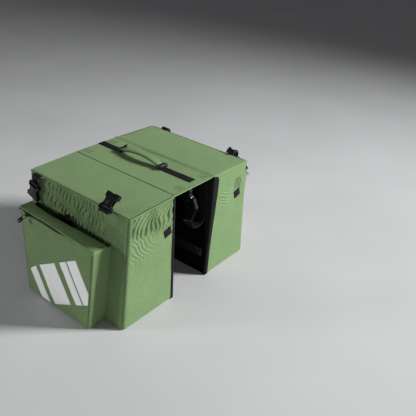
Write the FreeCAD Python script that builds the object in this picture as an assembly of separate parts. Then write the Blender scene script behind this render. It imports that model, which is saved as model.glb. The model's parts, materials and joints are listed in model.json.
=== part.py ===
"""Double pannier bag for a bicycle's rear rack: two stiffened fabric side bags joined by a bridge.

Frame: millimetres, +Z up, +X towards the back of the bicycle, left bag at -Y, right bag at +Y.
The origin is on the floor under the middle. Both side bags are the same bag: the right one is
the left one turned half a turn about Z, so everything of a side bag is drawn once, on the left.
"""

import FreeCAD, Part
import os
from math import atan, degrees, hypot

V = FreeCAD.Vector

# Driving dimensions, in millimetres
BAG_LENGTH_TOP = 330.0  # along the bicycle
BAG_LENGTH_BOTTOM = 322.0
SEAM_Y = 72.0  # half the bridge's width, where a side bag hinges
SEAM_Z = 287.0  # top of the bridge
OUTER_Y_TOP = 206.0  # lid's outer edge
RIM_Z = 283.0  # top of the lid at its outer edge
INNER_Y_BOTTOM = 65.0  # wall beside the wheel, at the floor
OUTER_Y_BOTTOM = 228.0  # outer wall, at the floor
WALL = 2.5  # stiffened fabric
BACK_PANEL = 4.0
FLOOR_BOARD = 2.0
BINDING_WIDTH = 6.0
BINDING = 0.8
LID = 3.0
LINING = 1.0
SEAM_GAP = 0.6  # the lid's and the bridge's edges stop this far from the hinge line
CLEAR = 0.3  # between pieces that move past each other
WEBBING = 25.0
WEBBING_THICK = 1.8

# Bridge, carry strap and handle
BOARD_HALF_X = 112.0
BOARD_HALF_Y = 66.0
BOARD = 2.5
CARRY_Y = 12.0  # the carry strap runs beside the middle
CARRY_FRONT_X, CARRY_REAR_X = -163.0, 146.0
HANDLE_FRONT_X, HANDLE_REAR_X = -78.0, 45.0
HANDLE_END_Z, HANDLE_TOP_Z = 297.0, 306.5
CARRY_WEBBING = 20.0
HANDLE_WIDTH = 20.0
GRIP = 4.0
HANDLE_WEBBING = 1.6
KEEPER = (12.0, 25.0, 10.0)

# Pocket on the outer wall
POCKET_X_TOP = (-133.0, 117.0)
POCKET_X_BOTTOM = (-115.0, 101.0)
POCKET_Z_TOP = (221.0, 211.0)  # its top falls a little towards +X
POCKET_BACK_Y = 228.3
POCKET_FRONT_Y_TOP = 263.5
POCKET_FRONT_Y_BOTTOM = 276.0
POCKET_WALL = 2.0
POCKET_BACK = 1.5
POCKET_GAP_FLOOR = 25.0  # the gap behind the pocket starts at this height
FLAP = 3.0
ZIP_HEIGHT = 6.0
ZIP_TAPE = 1.6
ZIP_BACK_Y = 233.0
SLIDER_X = -100.0
SLIDER_STANDOFF = 2.1  # over the flap's lip
SLIDER = (12.0, 4.5, 7.0)
EYE_WIRE = 1.1  # the pull's wire eye, and half the room for it in the slider's crown
EYE_ROOM = 0.85
PULL_ANGLE = 45.0  # how far the pull stands off the pocket
PULL_LENGTH = 23.0

# Side-release buckle for 25 mm webbing; its length runs from the webbing's bar to the mouth
SOCKET_LENGTH = 40.0
SOCKET_BASE = 34.0
SOCKET_WAIST = 24.0
SOCKET_EARS = 36.0
SOCKET_THICK = 9.6
SOCKET_CAVITY = (26.0, 5.4)
SOCKET_CAVITY_START = 12.0
SLOT = (26.5, 4.0)
BAR = 3.4
BAR_THICK = 3.2  # the bar is thinner than the body, so that the webbing fits round it
PLUG_BASE = 17.0
PLUG_REACH = 24.0
PLUG_THICK = 4.4

# Buckle tabs on the lids, and the buckle between the left bag's wall and its pocket
TAB_HINGE_Z = 281.5
TAB_START_Y = 207.0
TAB_OUT, TAB_DROP = 12.5, 19.2  # from the tab's start to the bar of the buckle that hangs from it
TAB_SKEW = 0.7  # a tab sewn askew runs this much towards -X for each millimetre outwards
CREST_Y = 214.0  # a humped tab swings at its crest instead
CREST_GAP = 1.5
REAR_HUMP, FRONT_HUMP = 12.0, 5.0
LEFT_LEAN, REAR_LEAN = 18.0, 55.0  # how far a hanging buckle leans towards -X
UP_TAB_OUT, UP_TAB_RISE = 14.0, 8.2  # from the tab's start to the bar of the buckle that stands up
UP_TAB_TILT = 49.0  # off the vertical, inwards over the lid
FRONT_TAB_X = -121.0
REAR_TAB_X = 106.0
SKEWED_TAB_X = -107.0  # the right bag's rear tab, as drawn on the left
BAG_BUCKLE_X, BAG_BUCKLE_Z = -20.0, 206.0  # its bar
BAG_BUCKLE_LEAN = 72.0  # off the vertical, towards -X
BAG_TAB_LENGTH = 12.0

# Rack straps under the bridge
STRAP_NEAR_X, STRAP_FAR_X = 134.0, 141.0
STRAP_NEAR_Y, STRAP_FAR_Y = -4.0, 59.5
RACK_BUCKLE_Y, RACK_BUCKLE_Z = 0.0, 270.0
RACK_BUCKLE_TILT = 14.0  # off the vertical, towards the far anchor
RACK_BUCKLE_LEAN = 14.0  # and towards the bridge's end
STRAP_LOW_Z = 157.0

# Lower stay strap on the wheel side, and the sewn patches on the end walls
LOW_STRAP_Z = 62.0
LOW_STRAP_HALF_X = 146.0
LOW_BUCKLE_X = 74.0
LOW_BUCKLE = (34.0, 5.0, 24.0)
PATCH = 22.0
PATCH_THICK = 1.4
PATCH_Z = 203.0
REAR_PATCH_Y, FRONT_PATCH_Y = 91.0, 173.0
PATCH_TURN = 17.0


def half_length(z):
    """Half the bag's length at height z."""
    return (BAG_LENGTH_BOTTOM + (BAG_LENGTH_TOP - BAG_LENGTH_BOTTOM) * z / RIM_Z) / 2


def inner_y(z):
    return INNER_Y_BOTTOM + (SEAM_Y - INNER_Y_BOTTOM) * z / SEAM_Z


def outer_y(z):
    return OUTER_Y_BOTTOM + (OUTER_Y_TOP - OUTER_Y_BOTTOM) * z / RIM_Z


def lid_z(y):
    """Top face of the lid at distance y from the middle."""
    return SEAM_Z - (y - SEAM_Y) * (SEAM_Z - RIM_Z) / (OUTER_Y_TOP - SEAM_Y)


def block(low, high):
    """Solid from four corners below and the four above them, in the same order round."""
    rings = [low, high]
    rings += [[low[i], low[(i + 1) % 4], high[(i + 1) % 4], high[i]] for i in range(4)]
    faces = [Part.Face(Part.makePolygon([*ring, ring[0]])) for ring in rings]
    solid = Part.Solid(Part.Shell(faces))
    if solid.Volume < 0:
        solid.reverse()
    return solid


def box(x0, x1, y0, y1, z0, z1):
    return Part.makeBox(x1 - x0, y1 - y0, z1 - z0, V(x0, y0, z0))


def sheet(points, x0, x1, skew=0.0):
    """Outline of (y, z) points drawn out from x0 to x1. A skewed one moves towards -X by skew
    for each millimetre that it goes outwards from the lid's edge."""
    corners = [V(x0 + skew * (y + TAB_START_Y), y, z) for y, z in points]
    return Part.Face(Part.makePolygon([*corners, corners[0]])).extrude(V(x1 - x0, 0, 0))


def ribbon(path, thick, x0, x1, skew=0.0):
    """Webbing along a path of (y, z) points, its width from x0 to x1."""
    left, right = [], []
    for i, (y, z) in enumerate(path):
        before = path[max(i - 1, 0)]
        after = path[min(i + 1, len(path) - 1)]
        dy_in, dz_in = unit(y - before[0], z - before[1])
        dy_out, dz_out = unit(after[0] - y, after[1] - z)
        if i == 0:
            dy_in, dz_in = dy_out, dz_out
        if i == len(path) - 1:
            dy_out, dz_out = dy_in, dz_in
        ny, nz = unit(-(dz_in + dz_out), dy_in + dy_out)
        reach = thick / 2 / max(0.5, ny * -dz_in + nz * dy_in)
        left.append((y + ny * reach, z + nz * reach))
        right.append((y - ny * reach, z - nz * reach))
    return sheet(left + right[::-1], x0, x1, skew)


def unit(a, b):
    size = hypot(a, b) or 1.0
    return a / size, b / size


def turned(shape, angle, axis):
    moved = shape.copy()
    moved.rotate(V(0, 0, 0), axis, angle)
    return moved


def moved_to(shape, x, y, z):
    moved = shape.copy()
    moved.translate(V(x, y, z))
    return moved


# The side bag


def bag_block(floor, drop, end_inset, outer_inset, inner_inset):
    """Tapered block inside the bag's outline, up to drop below the lid's sloping top face."""
    corners = []
    for z_outer, z_inner in ((floor, floor), (RIM_Z - drop, SEAM_Z - drop)):
        for side, z, y in (
            (-1, z_outer, outer_y(z_outer) - outer_inset),
            (1, z_outer, outer_y(z_outer) - outer_inset),
            (1, z_inner, inner_y(z_inner) + inner_inset),
            (-1, z_inner, inner_y(z_inner) + inner_inset),
        ):
            corners.append(V(side * (half_length(z) - end_inset), -y, z))
    return block(corners[:4], corners[4:])


def shell():
    """Outer wall, two end walls and bottom; the back panel closes the wheel side."""
    outside = bag_block(0, LID + CLEAR, 0, 0, BACK_PANEL)
    inside = bag_block(WALL, -LID, WALL, WALL, BACK_PANEL - 1)
    return outside.cut(inside)


def back_panel():
    top = LID + CLEAR
    return bag_block(0, top, 0, 0, 0).cut(bag_block(-5, -LID, -5, -5, BACK_PANEL))


def edge_binding():
    """Tape over the back panel's two upright edges, one strip at each end wall."""
    top = LID + CLEAR
    strips = []
    for side in (-1, 1):
        low, high = [], []
        for ring, z in ((low, 0), (high, SEAM_Z - top - 1)):
            x0 = side * half_length(z)
            x1 = side * (half_length(z) + BINDING)
            y0 = -inner_y(z)
            y1 = -(inner_y(z) + BINDING_WIDTH)
            ring += [V(x0, y0, z), V(x1, y0, z), V(x1, y1, z), V(x0, y1, z)]
        strips.append(block(low, high))
    return Part.makeCompound(strips)


def floor_board():
    inset = WALL + 1
    board = bag_block(WALL, 0, inset, inset, BACK_PANEL + 1)
    return board.common(box(-200, 200, -300, 0, WALL, WALL + FLOOR_BOARD))


def lid_sheet(inner, outer, top_drop, bottom_drop, half_x):
    points = [
        (-inner, lid_z(inner) - top_drop),
        (-outer, lid_z(outer) - top_drop),
        (-outer, lid_z(outer) - bottom_drop),
        (-inner, lid_z(inner) - bottom_drop),
    ]
    return sheet(points, -half_x, half_x)


def lid():
    return lid_sheet(SEAM_Y + SEAM_GAP, OUTER_Y_TOP, 0, LID, BAG_LENGTH_TOP / 2)


def lid_lining():
    inset = WALL + 3
    inner = SEAM_Y + BACK_PANEL + 3
    half_x = BAG_LENGTH_TOP / 2 - inset
    return lid_sheet(inner, OUTER_Y_TOP - inset, LID, LID + LINING, half_x)


def side_patches():
    """A sewn webbing square on each end wall, set a little askew and lying flat on it."""
    squares = []
    wall_lean = degrees(atan((BAG_LENGTH_TOP - BAG_LENGTH_BOTTOM) / 2 / RIM_Z))
    for side, y in ((1, REAR_PATCH_Y), (-1, FRONT_PATCH_Y)):
        square = Part.makeBox(PATCH_THICK, PATCH, PATCH, V(0, -PATCH / 2, -PATCH / 2))
        square = turned(square, side * PATCH_TURN, V(1, 0, 0))
        square = turned(square, wall_lean, V(0, 1, 0))
        if side < 0:
            square = turned(square, 180, V(0, 0, 1))
        x = side * (half_length(PATCH_Z) + 0.02)
        squares.append(moved_to(square, x, -y, PATCH_Z))
    return Part.makeCompound(squares)


def low_strap():
    """Webbing along the wheel side, which ties the bag to the rack's stays."""
    z0 = LOW_STRAP_Z - WEBBING / 2
    z1 = LOW_STRAP_Z + WEBBING / 2
    points = [
        (-inner_y(z0), z0),
        (-inner_y(z1), z1),
        (-inner_y(z1) + WEBBING_THICK, z1),
        (-inner_y(z0) + WEBBING_THICK, z0),
    ]
    return sheet(points, -LOW_STRAP_HALF_X, LOW_STRAP_HALF_X)


def low_buckle():
    """Ladder-lock on the low strap: a plate with two slots and a raised middle bar."""
    width, thick, height = LOW_BUCKLE
    plate = box(-height / 2, height / 2, 0, thick - 1.4, -width / 2, width / 2)
    middle = box(-2, 2, 0, thick, -width / 2, width / 2)
    slots = [
        box(x - 2.5, x + 2.5, -1, thick + 1, -WEBBING / 2, WEBBING / 2) for x in (-6.5, 6.5)
    ]
    buckle = plate.fuse(middle).cut(Part.makeCompound(slots)).removeSplitter()
    wall_lean = degrees(atan((SEAM_Y - INNER_Y_BOTTOM) / SEAM_Z))
    buckle = turned(buckle, wall_lean, V(1, 0, 0))
    y = -inner_y(LOW_STRAP_Z) + WEBBING_THICK + 0.45
    return moved_to(buckle, LOW_BUCKLE_X, y, LOW_STRAP_Z)


# The pocket, its flap and its zip


def pocket_x(end, z):
    """x of the pocket's front end wall (end 0) or rear end wall (end 1) at height z."""
    share = z / POCKET_Z_TOP[end]
    return POCKET_X_BOTTOM[end] + (POCKET_X_TOP[end] - POCKET_X_BOTTOM[end]) * share


def pocket_front_y(z):
    share = z / POCKET_Z_TOP[0]
    return POCKET_FRONT_Y_BOTTOM + (POCKET_FRONT_Y_TOP - POCKET_FRONT_Y_BOTTOM) * share


def pocket_top_z(x):
    run = POCKET_X_TOP[1] - POCKET_X_TOP[0]
    return POCKET_Z_TOP[0] + (POCKET_Z_TOP[1] - POCKET_Z_TOP[0]) * (x - POCKET_X_TOP[0]) / run


def pocket_block(inset, back_y, floors, tops):
    """Block inside the pocket's outline. floors and tops are heights at its two ends, and
    back_y(z) is the distance from the middle at which it starts."""
    corners = []
    for heights in (floors, tops):
        for end, front in ((0, True), (1, True), (1, False), (0, False)):
            z = heights[end]
            x = pocket_x(end, z) + (inset if end == 0 else -inset)
            y = pocket_front_y(z) - inset if front else back_y(z)
            corners.append(V(x, -y, z))
    return block(corners[:4], corners[4:])


def below_top(drop):
    return [z - drop for z in POCKET_Z_TOP]


def pocket_box():
    """Pocket sewn to the outer wall at its ends and foot, with a gap behind its own back."""
    seat = FLAP + CLEAR
    body = pocket_block(0, outer_y, [0, 0], below_top(seat))
    cavity_back = POCKET_BACK_Y + POCKET_BACK
    cavity = pocket_block(POCKET_WALL, lambda z: cavity_back, [POCKET_WALL] * 2, below_top(-5))
    floor = [POCKET_GAP_FLOOR] * 2
    gap_corners = []
    for heights in (floor, below_top(-5)):
        for end, at_back in ((0, True), (1, True), (1, False), (0, False)):
            z = heights[end]
            x = pocket_x(end, z) + (POCKET_WALL if end == 0 else -POCKET_WALL)
            gap_corners.append(V(x, -(POCKET_BACK_Y if at_back else outer_y(z) - 1), z))
    gap = block(gap_corners[:4], gap_corners[4:])
    room_for_zip = pocket_block(-1, lambda z: ZIP_BACK_Y, below_top(seat + ZIP_HEIGHT), below_top(-5))
    return body.cut(cavity).cut(gap).cut(room_for_zip)


def zip_tape():
    """Zip band round the pocket's front and ends, under the flap."""
    low = below_top(FLAP + CLEAR + ZIP_HEIGHT - 0.1)
    high = below_top(FLAP + CLEAR)
    outside = pocket_block(0.2, lambda z: ZIP_BACK_Y, low, high)
    inside = pocket_block(
        0.2 + ZIP_TAPE, lambda z: ZIP_BACK_Y - 1, [z - 1 for z in low], [z + 1 for z in high]
    )
    return outside.cut(inside)


def pocket_flap():
    return pocket_block(0, lambda z: POCKET_BACK_Y + CLEAR, below_top(FLAP), below_top(0))


def slider_place():
    """(y, z) of the middle of the slider's back, in front of the zip band."""
    z = pocket_top_z(SLIDER_X) - FLAP - CLEAR - ZIP_HEIGHT / 2
    return -pocket_front_y(z) - SLIDER_STANDOFF, z


def zip_slider():
    """Slider body with a crown on its face for the pull."""
    length, thick, height = SLIDER
    body = box(-length / 2, length / 2, -thick, 0, -height / 2, height / 2)
    body = body.makeFillet(1.2, body.Edges)
    crown = box(-1.5, 1.5, -thick - 2 * EYE_ROOM - 0.9, -thick + 0.5, -2.8, 2.8)
    crown = crown.cut(box(-2, 2, -thick - 2 * EYE_ROOM, -thick, -1.1, 1.1))
    slider = body.fuse(crown)
    slope = (POCKET_Z_TOP[0] - POCKET_Z_TOP[1]) / (POCKET_X_TOP[1] - POCKET_X_TOP[0])
    y, z = slider_place()
    return moved_to(turned(slider, degrees(atan(slope)), V(0, 1, 0)), SLIDER_X, y, z)


def zip_pull():
    """Pull that hangs in the crown: a wire eye, a flat strip and a moulded tip."""
    wire = EYE_WIRE / 2
    eye = box(-4, 4, -wire, wire, -5.5, wire)
    eye = eye.cut(box(-2.3, 2.3, -1, 1, -4.2, -wire))
    strip = box(-3, 3, -0.9, 0.9, -PULL_LENGTH + 8, -5.5)
    tip = box(-4, 4, -1.8, 1.8, -PULL_LENGTH, -PULL_LENGTH + 8)
    tip = tip.makeFillet(1.4, tip.Edges)
    pull = eye.fuse(strip).fuse(tip)
    pull = turned(pull, -PULL_ANGLE, V(1, 0, 0))
    y, z = slider_place()
    return moved_to(pull, SLIDER_X, y - SLIDER[1] - EYE_ROOM, z)


# Buckles and webbing


def buckle_socket():
    """Female half: bar and slot for the webbing, open waist, mouth between two ears.
    Width along X, thickness along Y, length up Z from the bar."""
    base, waist, ears = SOCKET_BASE / 2, SOCKET_WAIST / 2, SOCKET_EARS / 2
    right = [
        Part.makeLine(V(base, 0, 0), V(base, 0, 9)),
        Part.Arc(V(base, 0, 9), V(waist + 0.7, 0, 13), V(waist, 0, 18)).toShape(),
        Part.makeLine(V(waist, 0, 18), V(waist, 0, 21)),
        Part.Arc(V(waist, 0, 21), V(waist + 1.4, 0, 26), V(ears, 0, 29)).toShape(),
        Part.makeLine(V(ears, 0, 29), V(ears, 0, SOCKET_LENGTH)),
    ]
    top = Part.makeLine(V(ears, 0, SOCKET_LENGTH), V(-ears, 0, SOCKET_LENGTH))
    left = [edge.mirror(V(0, 0, 0), V(1, 0, 0)) for edge in reversed(right)]
    foot = Part.makeLine(V(-base, 0, 0), V(base, 0, 0))
    outline = Part.Wire(Part.__sortEdges__([*right, top, *left, foot]))
    half = SOCKET_THICK / 2
    body = Part.Face(outline).extrude(V(0, SOCKET_THICK, 0))
    body.translate(V(0, -half, 0))
    rim = [
        edge
        for edge in body.Edges
        if abs(abs(edge.CenterOfMass.y) - half) < 1e-6 and abs(edge.CenterOfMass.z) > 0.5
    ]
    body = body.makeFillet(1.2, rim)
    width, depth = SOCKET_CAVITY
    mouth = box(-width / 2, width / 2, -depth / 2, depth / 2, SOCKET_CAVITY_START, SOCKET_LENGTH + 1)
    slot = box(-SLOT[0] / 2, SLOT[0] / 2, -half - 1, half + 1, BAR, BAR + SLOT[1])
    notch = box(-5, 5, -half - 1, -depth / 2 + 0.5, SOCKET_LENGTH - 3, SOCKET_LENGTH + 1)
    body = body.cut(mouth).cut(slot).cut(notch)
    for side in (-1, 1):
        y0, y1 = sorted((side * BAR_THICK / 2, side * (half + 1)))
        body = body.cut(box(-SLOT[0] / 2, SLOT[0] / 2, y0, y1, -1, BAR + 0.5))
    return body


def buckle_plug():
    """Male half: ladder-lock base with two slots, a middle tongue and two spring arms.
    The base lies outside the mouth, above SOCKET_LENGTH; the arms reach down into it."""
    base = SOCKET_BASE / 2
    mouth = SOCKET_LENGTH + CLEAR
    end = mouth + PLUG_BASE
    half = SOCKET_THICK / 2 - 1
    body = box(-base, base, -half, half, mouth, end)
    body = body.makeFillet(1.3, [edge for edge in body.Edges if edge.Length > PLUG_BASE - 1])
    for z in (mouth + 3.4, mouth + 10.4):
        body = body.cut(box(-SLOT[0] / 2, SLOT[0] / 2, -half - 1, half + 1, z, z + 3.6))
    tongue = box(-3, 3, -PLUG_THICK / 2, PLUG_THICK / 2, mouth - PLUG_REACH + 3, mouth + 1)
    arms = [
        box(x - 2, x + 2, -PLUG_THICK / 2, PLUG_THICK / 2, mouth - PLUG_REACH, mouth + 1)
        for x in (-10.4, 10.4)
    ]
    return body.fuse(tongue).fuse(arms[0]).fuse(arms[1]).removeSplitter()


def hanging(shape, lean):
    """Turned over so that its length runs down, then leaned towards -X."""
    return turned(turned(shape, 180, V(1, 0, 0)), lean, V(0, 1, 0))


def tab_path(hump):
    """Webbing out of the lid's edge, over a hump, and down to the buckle's bar."""
    y, z = TAB_START_Y, TAB_HINGE_Z
    return [
        (-y, z),
        (-y - 3.2, z + hump * 0.7),
        (-CREST_Y, z + hump),
        (-y - 11, z + hump * 0.6 - 3),
        (-y - TAB_OUT, z - 10),
        (-y - TAB_OUT, z - TAB_DROP + 0.7),
    ]


def tab_ribbon(path, x, skew):
    return ribbon(path, WEBBING_THICK, x - WEBBING / 2, x + WEBBING / 2, skew)


def buckle_room():
    """Room that webbing leaves for a buckle drawn upright with its bar at the origin."""
    return box(-SOCKET_EARS, SOCKET_EARS, -20, 20, -CLEAR, SOCKET_LENGTH - 10)


def clear_of_buckle(tab, x, lean, skew):
    return tab.cut(at_hanging_bar(buckle_room(), x, lean, skew))


def hanging_tab(x, lean, skew):
    """Whole tab that swings at the lid's edge."""
    return clear_of_buckle(tab_ribbon(tab_path(0.0), x, skew), x, lean, skew)


def tab_root(x, hump, skew):
    """Stiff stub of a tab that stands up from the lid's edge, as far as its crest."""
    path = tab_path(hump)
    end = (-CREST_Y + CREST_GAP, path[2][1])
    return tab_ribbon([*path[:2], end], x, skew)


def tab_link(x, hump, lean, skew):
    """The rest of that tab, which swings at the crest."""
    path = tab_path(hump)
    start = (-CREST_Y - CREST_GAP, path[2][1])
    return clear_of_buckle(tab_ribbon([start, *path[3:]], x, skew), x, lean, skew)


def at_hanging_bar(shape, x, lean, skew):
    """Turns a shape drawn upright over at the lower end of a hanging tab."""
    bar_x = x - skew * TAB_OUT
    return moved_to(hanging(shape, lean), bar_x, -TAB_START_Y - TAB_OUT, TAB_HINGE_Z - TAB_DROP)


def up_tab(x):
    """Webbing bent up out of the lid's edge to a buckle that stands over the lid."""
    y, z = TAB_START_Y, TAB_HINGE_Z
    path = [(-y, z), (-y - 6, z - 0.5), (-y - 11, z + 0.5), (-y - UP_TAB_OUT, z + UP_TAB_RISE - 4)]
    tab = ribbon(path, WEBBING_THICK, -WEBBING / 2, WEBBING / 2)
    return moved_to(tab, x, 0, 0)


def up_buckle(x):
    standing = turned(buckle_socket(), -UP_TAB_TILT, V(1, 0, 0))
    return moved_to(standing, x, -TAB_START_Y - UP_TAB_OUT, TAB_HINGE_Z + UP_TAB_RISE)


def on_outer_wall(shape):
    """Places a shape drawn hanging down from the origin, outwards along -Y, flat on the wall."""
    wall_lean = degrees(atan((OUTER_Y_BOTTOM - OUTER_Y_TOP) / RIM_Z))
    placed = turned(turned(shape, BAG_BUCKLE_LEAN, V(0, 1, 0)), -wall_lean, V(1, 0, 0))
    return moved_to(placed, BAG_BUCKLE_X, -outer_y(BAG_BUCKLE_Z) - 0.02, BAG_BUCKLE_Z)


def bag_tab():
    """Short webbing loop sewn to the outer wall above the pocket's gap."""
    half = WEBBING / 2
    foot = 6.5
    return on_outer_wall(box(-half, half, -WEBBING_THICK, 0, foot, foot + BAG_TAB_LENGTH))


def bag_buckle():
    """Female half that lies in the gap behind the pocket, with its own short link of webbing."""
    middle = -0.6 - SOCKET_THICK / 2
    socket = moved_to(turned(buckle_socket(), 180, V(1, 0, 0)), 0, middle, 0)
    link = ribbon(
        [(middle + 3.4, 6.0), (middle + 0.6, 3.6), (middle, -0.5)],
        WEBBING_THICK,
        -WEBBING / 2,
        WEBBING / 2,
    )
    return on_outer_wall(socket.fuse(link))


# The bridge


def bridge_top():
    half_x = BAG_LENGTH_TOP / 2
    half_y = SEAM_Y - SEAM_GAP
    return box(-half_x, half_x, -half_y, half_y, SEAM_Z - LID, SEAM_Z)


def bridge_board():
    top = SEAM_Z - LID
    return box(-BOARD_HALF_X, BOARD_HALF_X, -BOARD_HALF_Y, BOARD_HALF_Y, top - BOARD, top)


def bridge_lining():
    top = SEAM_Z - LID - BOARD
    return box(-BOARD_HALF_X, BOARD_HALF_X, -BOARD_HALF_Y, BOARD_HALF_Y, top - LINING, top)


def carry_webbing():
    half = CARRY_WEBBING / 2
    top = SEAM_Z + HANDLE_WEBBING
    return box(CARRY_FRONT_X, CARRY_REAR_X, CARRY_Y - half, CARRY_Y + half, SEAM_Z, top)


def handle_keepers():
    """Two moulded keepers that hold the grip's ends down on the carry strap."""
    length, width, height = KEEPER
    low = SEAM_Z + HANDLE_WEBBING
    blocks = []
    for x in (HANDLE_FRONT_X - length - 0.6, HANDLE_REAR_X + 0.6):
        keeper = box(x, x + length, CARRY_Y - width / 2, CARRY_Y + width / 2, low, low + height)
        above_foot = [edge for edge in keeper.Edges if edge.BoundBox.ZMax > low + 1]
        blocks.append(keeper.makeFillet(2.0, above_foot))
    return Part.makeCompound(blocks)


def arched_band(low_offset, high_offset, width):
    """Band along the handle's arch, between two offsets above its line."""
    middle_x = (HANDLE_FRONT_X + HANDLE_REAR_X) / 2
    edges = []
    for offset, reverse in ((low_offset, False), (high_offset, True)):
        first = V(HANDLE_FRONT_X, 0, HANDLE_END_Z + offset)
        last = V(HANDLE_REAR_X, 0, HANDLE_END_Z + offset)
        top = V(middle_x, 0, HANDLE_TOP_Z + offset)
        arc = Part.Arc(last, top, first) if reverse else Part.Arc(first, top, last)
        edges.append(arc.toShape())
    for x in (HANDLE_FRONT_X, HANDLE_REAR_X):
        low = V(x, 0, HANDLE_END_Z + low_offset)
        edges.append(Part.makeLine(low, V(x, 0, HANDLE_END_Z + high_offset)))
    face = Part.Face(Part.Wire(Part.__sortEdges__(edges)))
    band = face.extrude(V(0, width, 0))
    band.translate(V(0, CARRY_Y - width / 2, 0))
    return band


def handle_webbing():
    return arched_band(-HANDLE_WEBBING - GRIP, -GRIP, HANDLE_WIDTH - 2)


def handle_grip():
    return arched_band(-GRIP, 0, HANDLE_WIDTH)


# The rack strap at the rear end of the bridge; the front one is this one turned about Z


def strap_anchors():
    """Webbing ends sewn flat under the bridge, two for each rack strap."""
    patches = []
    top = SEAM_Z - LID
    half = WEBBING / 2
    for side in (-1, 1):
        for x, y in ((STRAP_NEAR_X, STRAP_NEAR_Y - 6), (STRAP_FAR_X, STRAP_FAR_Y - 6)):
            x0, x1 = sorted((side * x - half, side * x + half))
            y0, y1 = sorted((side * y - 12, side * y + 12))
            patches.append(box(x0, x1, y0, y1, top - WEBBING_THICK, top))
    return Part.makeCompound(patches)


def in_rack_strap(shape):
    """Places a buckle half, drawn upright, in the rear rack strap."""
    placed = turned(turned(shape, 180 + RACK_BUCKLE_TILT, V(1, 0, 0)), -RACK_BUCKLE_LEAN, V(0, 1, 0))
    return moved_to(placed, STRAP_NEAR_X, RACK_BUCKLE_Y, RACK_BUCKLE_Z)


def along_buckle(distance, across=0.0):
    """Point at a distance from the bar along the rack buckle, and across its thickness."""
    place = FreeCAD.Rotation(V(0, 1, 0), -RACK_BUCKLE_LEAN)
    place = place.multiply(FreeCAD.Rotation(V(1, 0, 0), 180 + RACK_BUCKLE_TILT))
    return place.multVec(V(0, across, distance)) + V(STRAP_NEAR_X, RACK_BUCKLE_Y, RACK_BUCKLE_Z)


def strap_ribbon(path, x):
    return ribbon(path, WEBBING_THICK, x - WEBBING / 2, x + WEBBING / 2)


def rack_tab():
    top = SEAM_Z - LID - WEBBING_THICK - 0.1
    bar = along_buckle(0)
    path = [(STRAP_NEAR_Y, top), (STRAP_NEAR_Y + 0.6, top - 6), (bar.y, bar.z)]
    return strap_ribbon(path, STRAP_NEAR_X).cut(in_rack_strap(buckle_room()))


def rack_loop():
    """Webbing from the buckle's plug, round under the rail and up to the far anchor."""
    top = SEAM_Z - LID - WEBBING_THICK
    start = along_buckle(SOCKET_LENGTH + PLUG_BASE + 6)
    path = [
        (start.y - 1, start.z),
        (start.y - 4, start.z - 10),
        (8, 187),
        (10, 171),
        (20, STRAP_LOW_Z + 3),
        (35, STRAP_LOW_Z),
        (49, STRAP_LOW_Z + 4),
        (57, STRAP_LOW_Z + 14),
        (STRAP_FAR_Y, STRAP_LOW_Z + 30),
        (STRAP_FAR_Y, top),
    ]
    return strap_ribbon(path, STRAP_FAR_X)


def rack_tail():
    """Free end of the webbing, hanging from the plug's last bar in front of the loop."""
    start = along_buckle(SOCKET_LENGTH + PLUG_BASE + CLEAR + 0.9, 2.9)
    path = [
        (start.y, start.z),
        (start.y - 4, start.z - 8),
        (start.y - 9, start.z - 18),
        (start.y - 14, start.z - 28),
    ]
    tail = strap_ribbon(path, start.x)
    return tail.cut(in_rack_strap(box(-30, 30, -20, 20, 0, SOCKET_LENGTH + PLUG_BASE + 2 * CLEAR)))


HALF_TURN = (180, V(0, 0, 1))

# What a side bag is made of, drawn on the left
SIDE = {
    "shell": shell(),
    "back_panel": back_panel(),
    "edge_binding": edge_binding(),
    "floor_board": floor_board(),
    "side_patches": side_patches(),
    "low_strap": low_strap(),
    "low_buckle": low_buckle(),
    "pocket_box": pocket_box(),
    "zip_tape": zip_tape(),
    "pocket_flap": pocket_flap(),
    "zip_slider": zip_slider(),
    "zip_pull": zip_pull(),
    "bag_tab": bag_tab(),
    "bag_buckle": bag_buckle(),
    "lid": lid(),
    "lid_lining": lid_lining(),
}

# Lid tabs: the left bag's rear buckle stands up, and the other three hang over the edge
LEFT_TABS = {
    "left_front_tab": hanging_tab(FRONT_TAB_X, LEFT_LEAN, TAB_SKEW),
    "left_front_buckle": at_hanging_bar(buckle_socket(), FRONT_TAB_X, LEFT_LEAN, TAB_SKEW),
    "left_rear_tab": up_tab(REAR_TAB_X),
    "left_rear_buckle": up_buckle(REAR_TAB_X),
}
RIGHT_TABS = {
    "right_rear_tab": tab_root(SKEWED_TAB_X, REAR_HUMP, TAB_SKEW),
    "right_rear_link": tab_link(SKEWED_TAB_X, REAR_HUMP, REAR_LEAN, TAB_SKEW),
    "right_rear_buckle": at_hanging_bar(buckle_socket(), SKEWED_TAB_X, REAR_LEAN, TAB_SKEW),
    "right_front_tab": tab_root(-FRONT_TAB_X, FRONT_HUMP, 0.0),
    "right_front_link": tab_link(-FRONT_TAB_X, FRONT_HUMP, 0.0, 0.0),
    "right_front_buckle": at_hanging_bar(buckle_socket(), -FRONT_TAB_X, 0.0, 0.0),
}
REAR_STRAP = {
    "rack_tab": rack_tab(),
    "rack_socket": in_rack_strap(buckle_socket()),
    "rack_loop": rack_loop(),
    "rack_plug": in_rack_strap(buckle_plug()),
    "rack_tail": rack_tail(),
}

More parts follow.
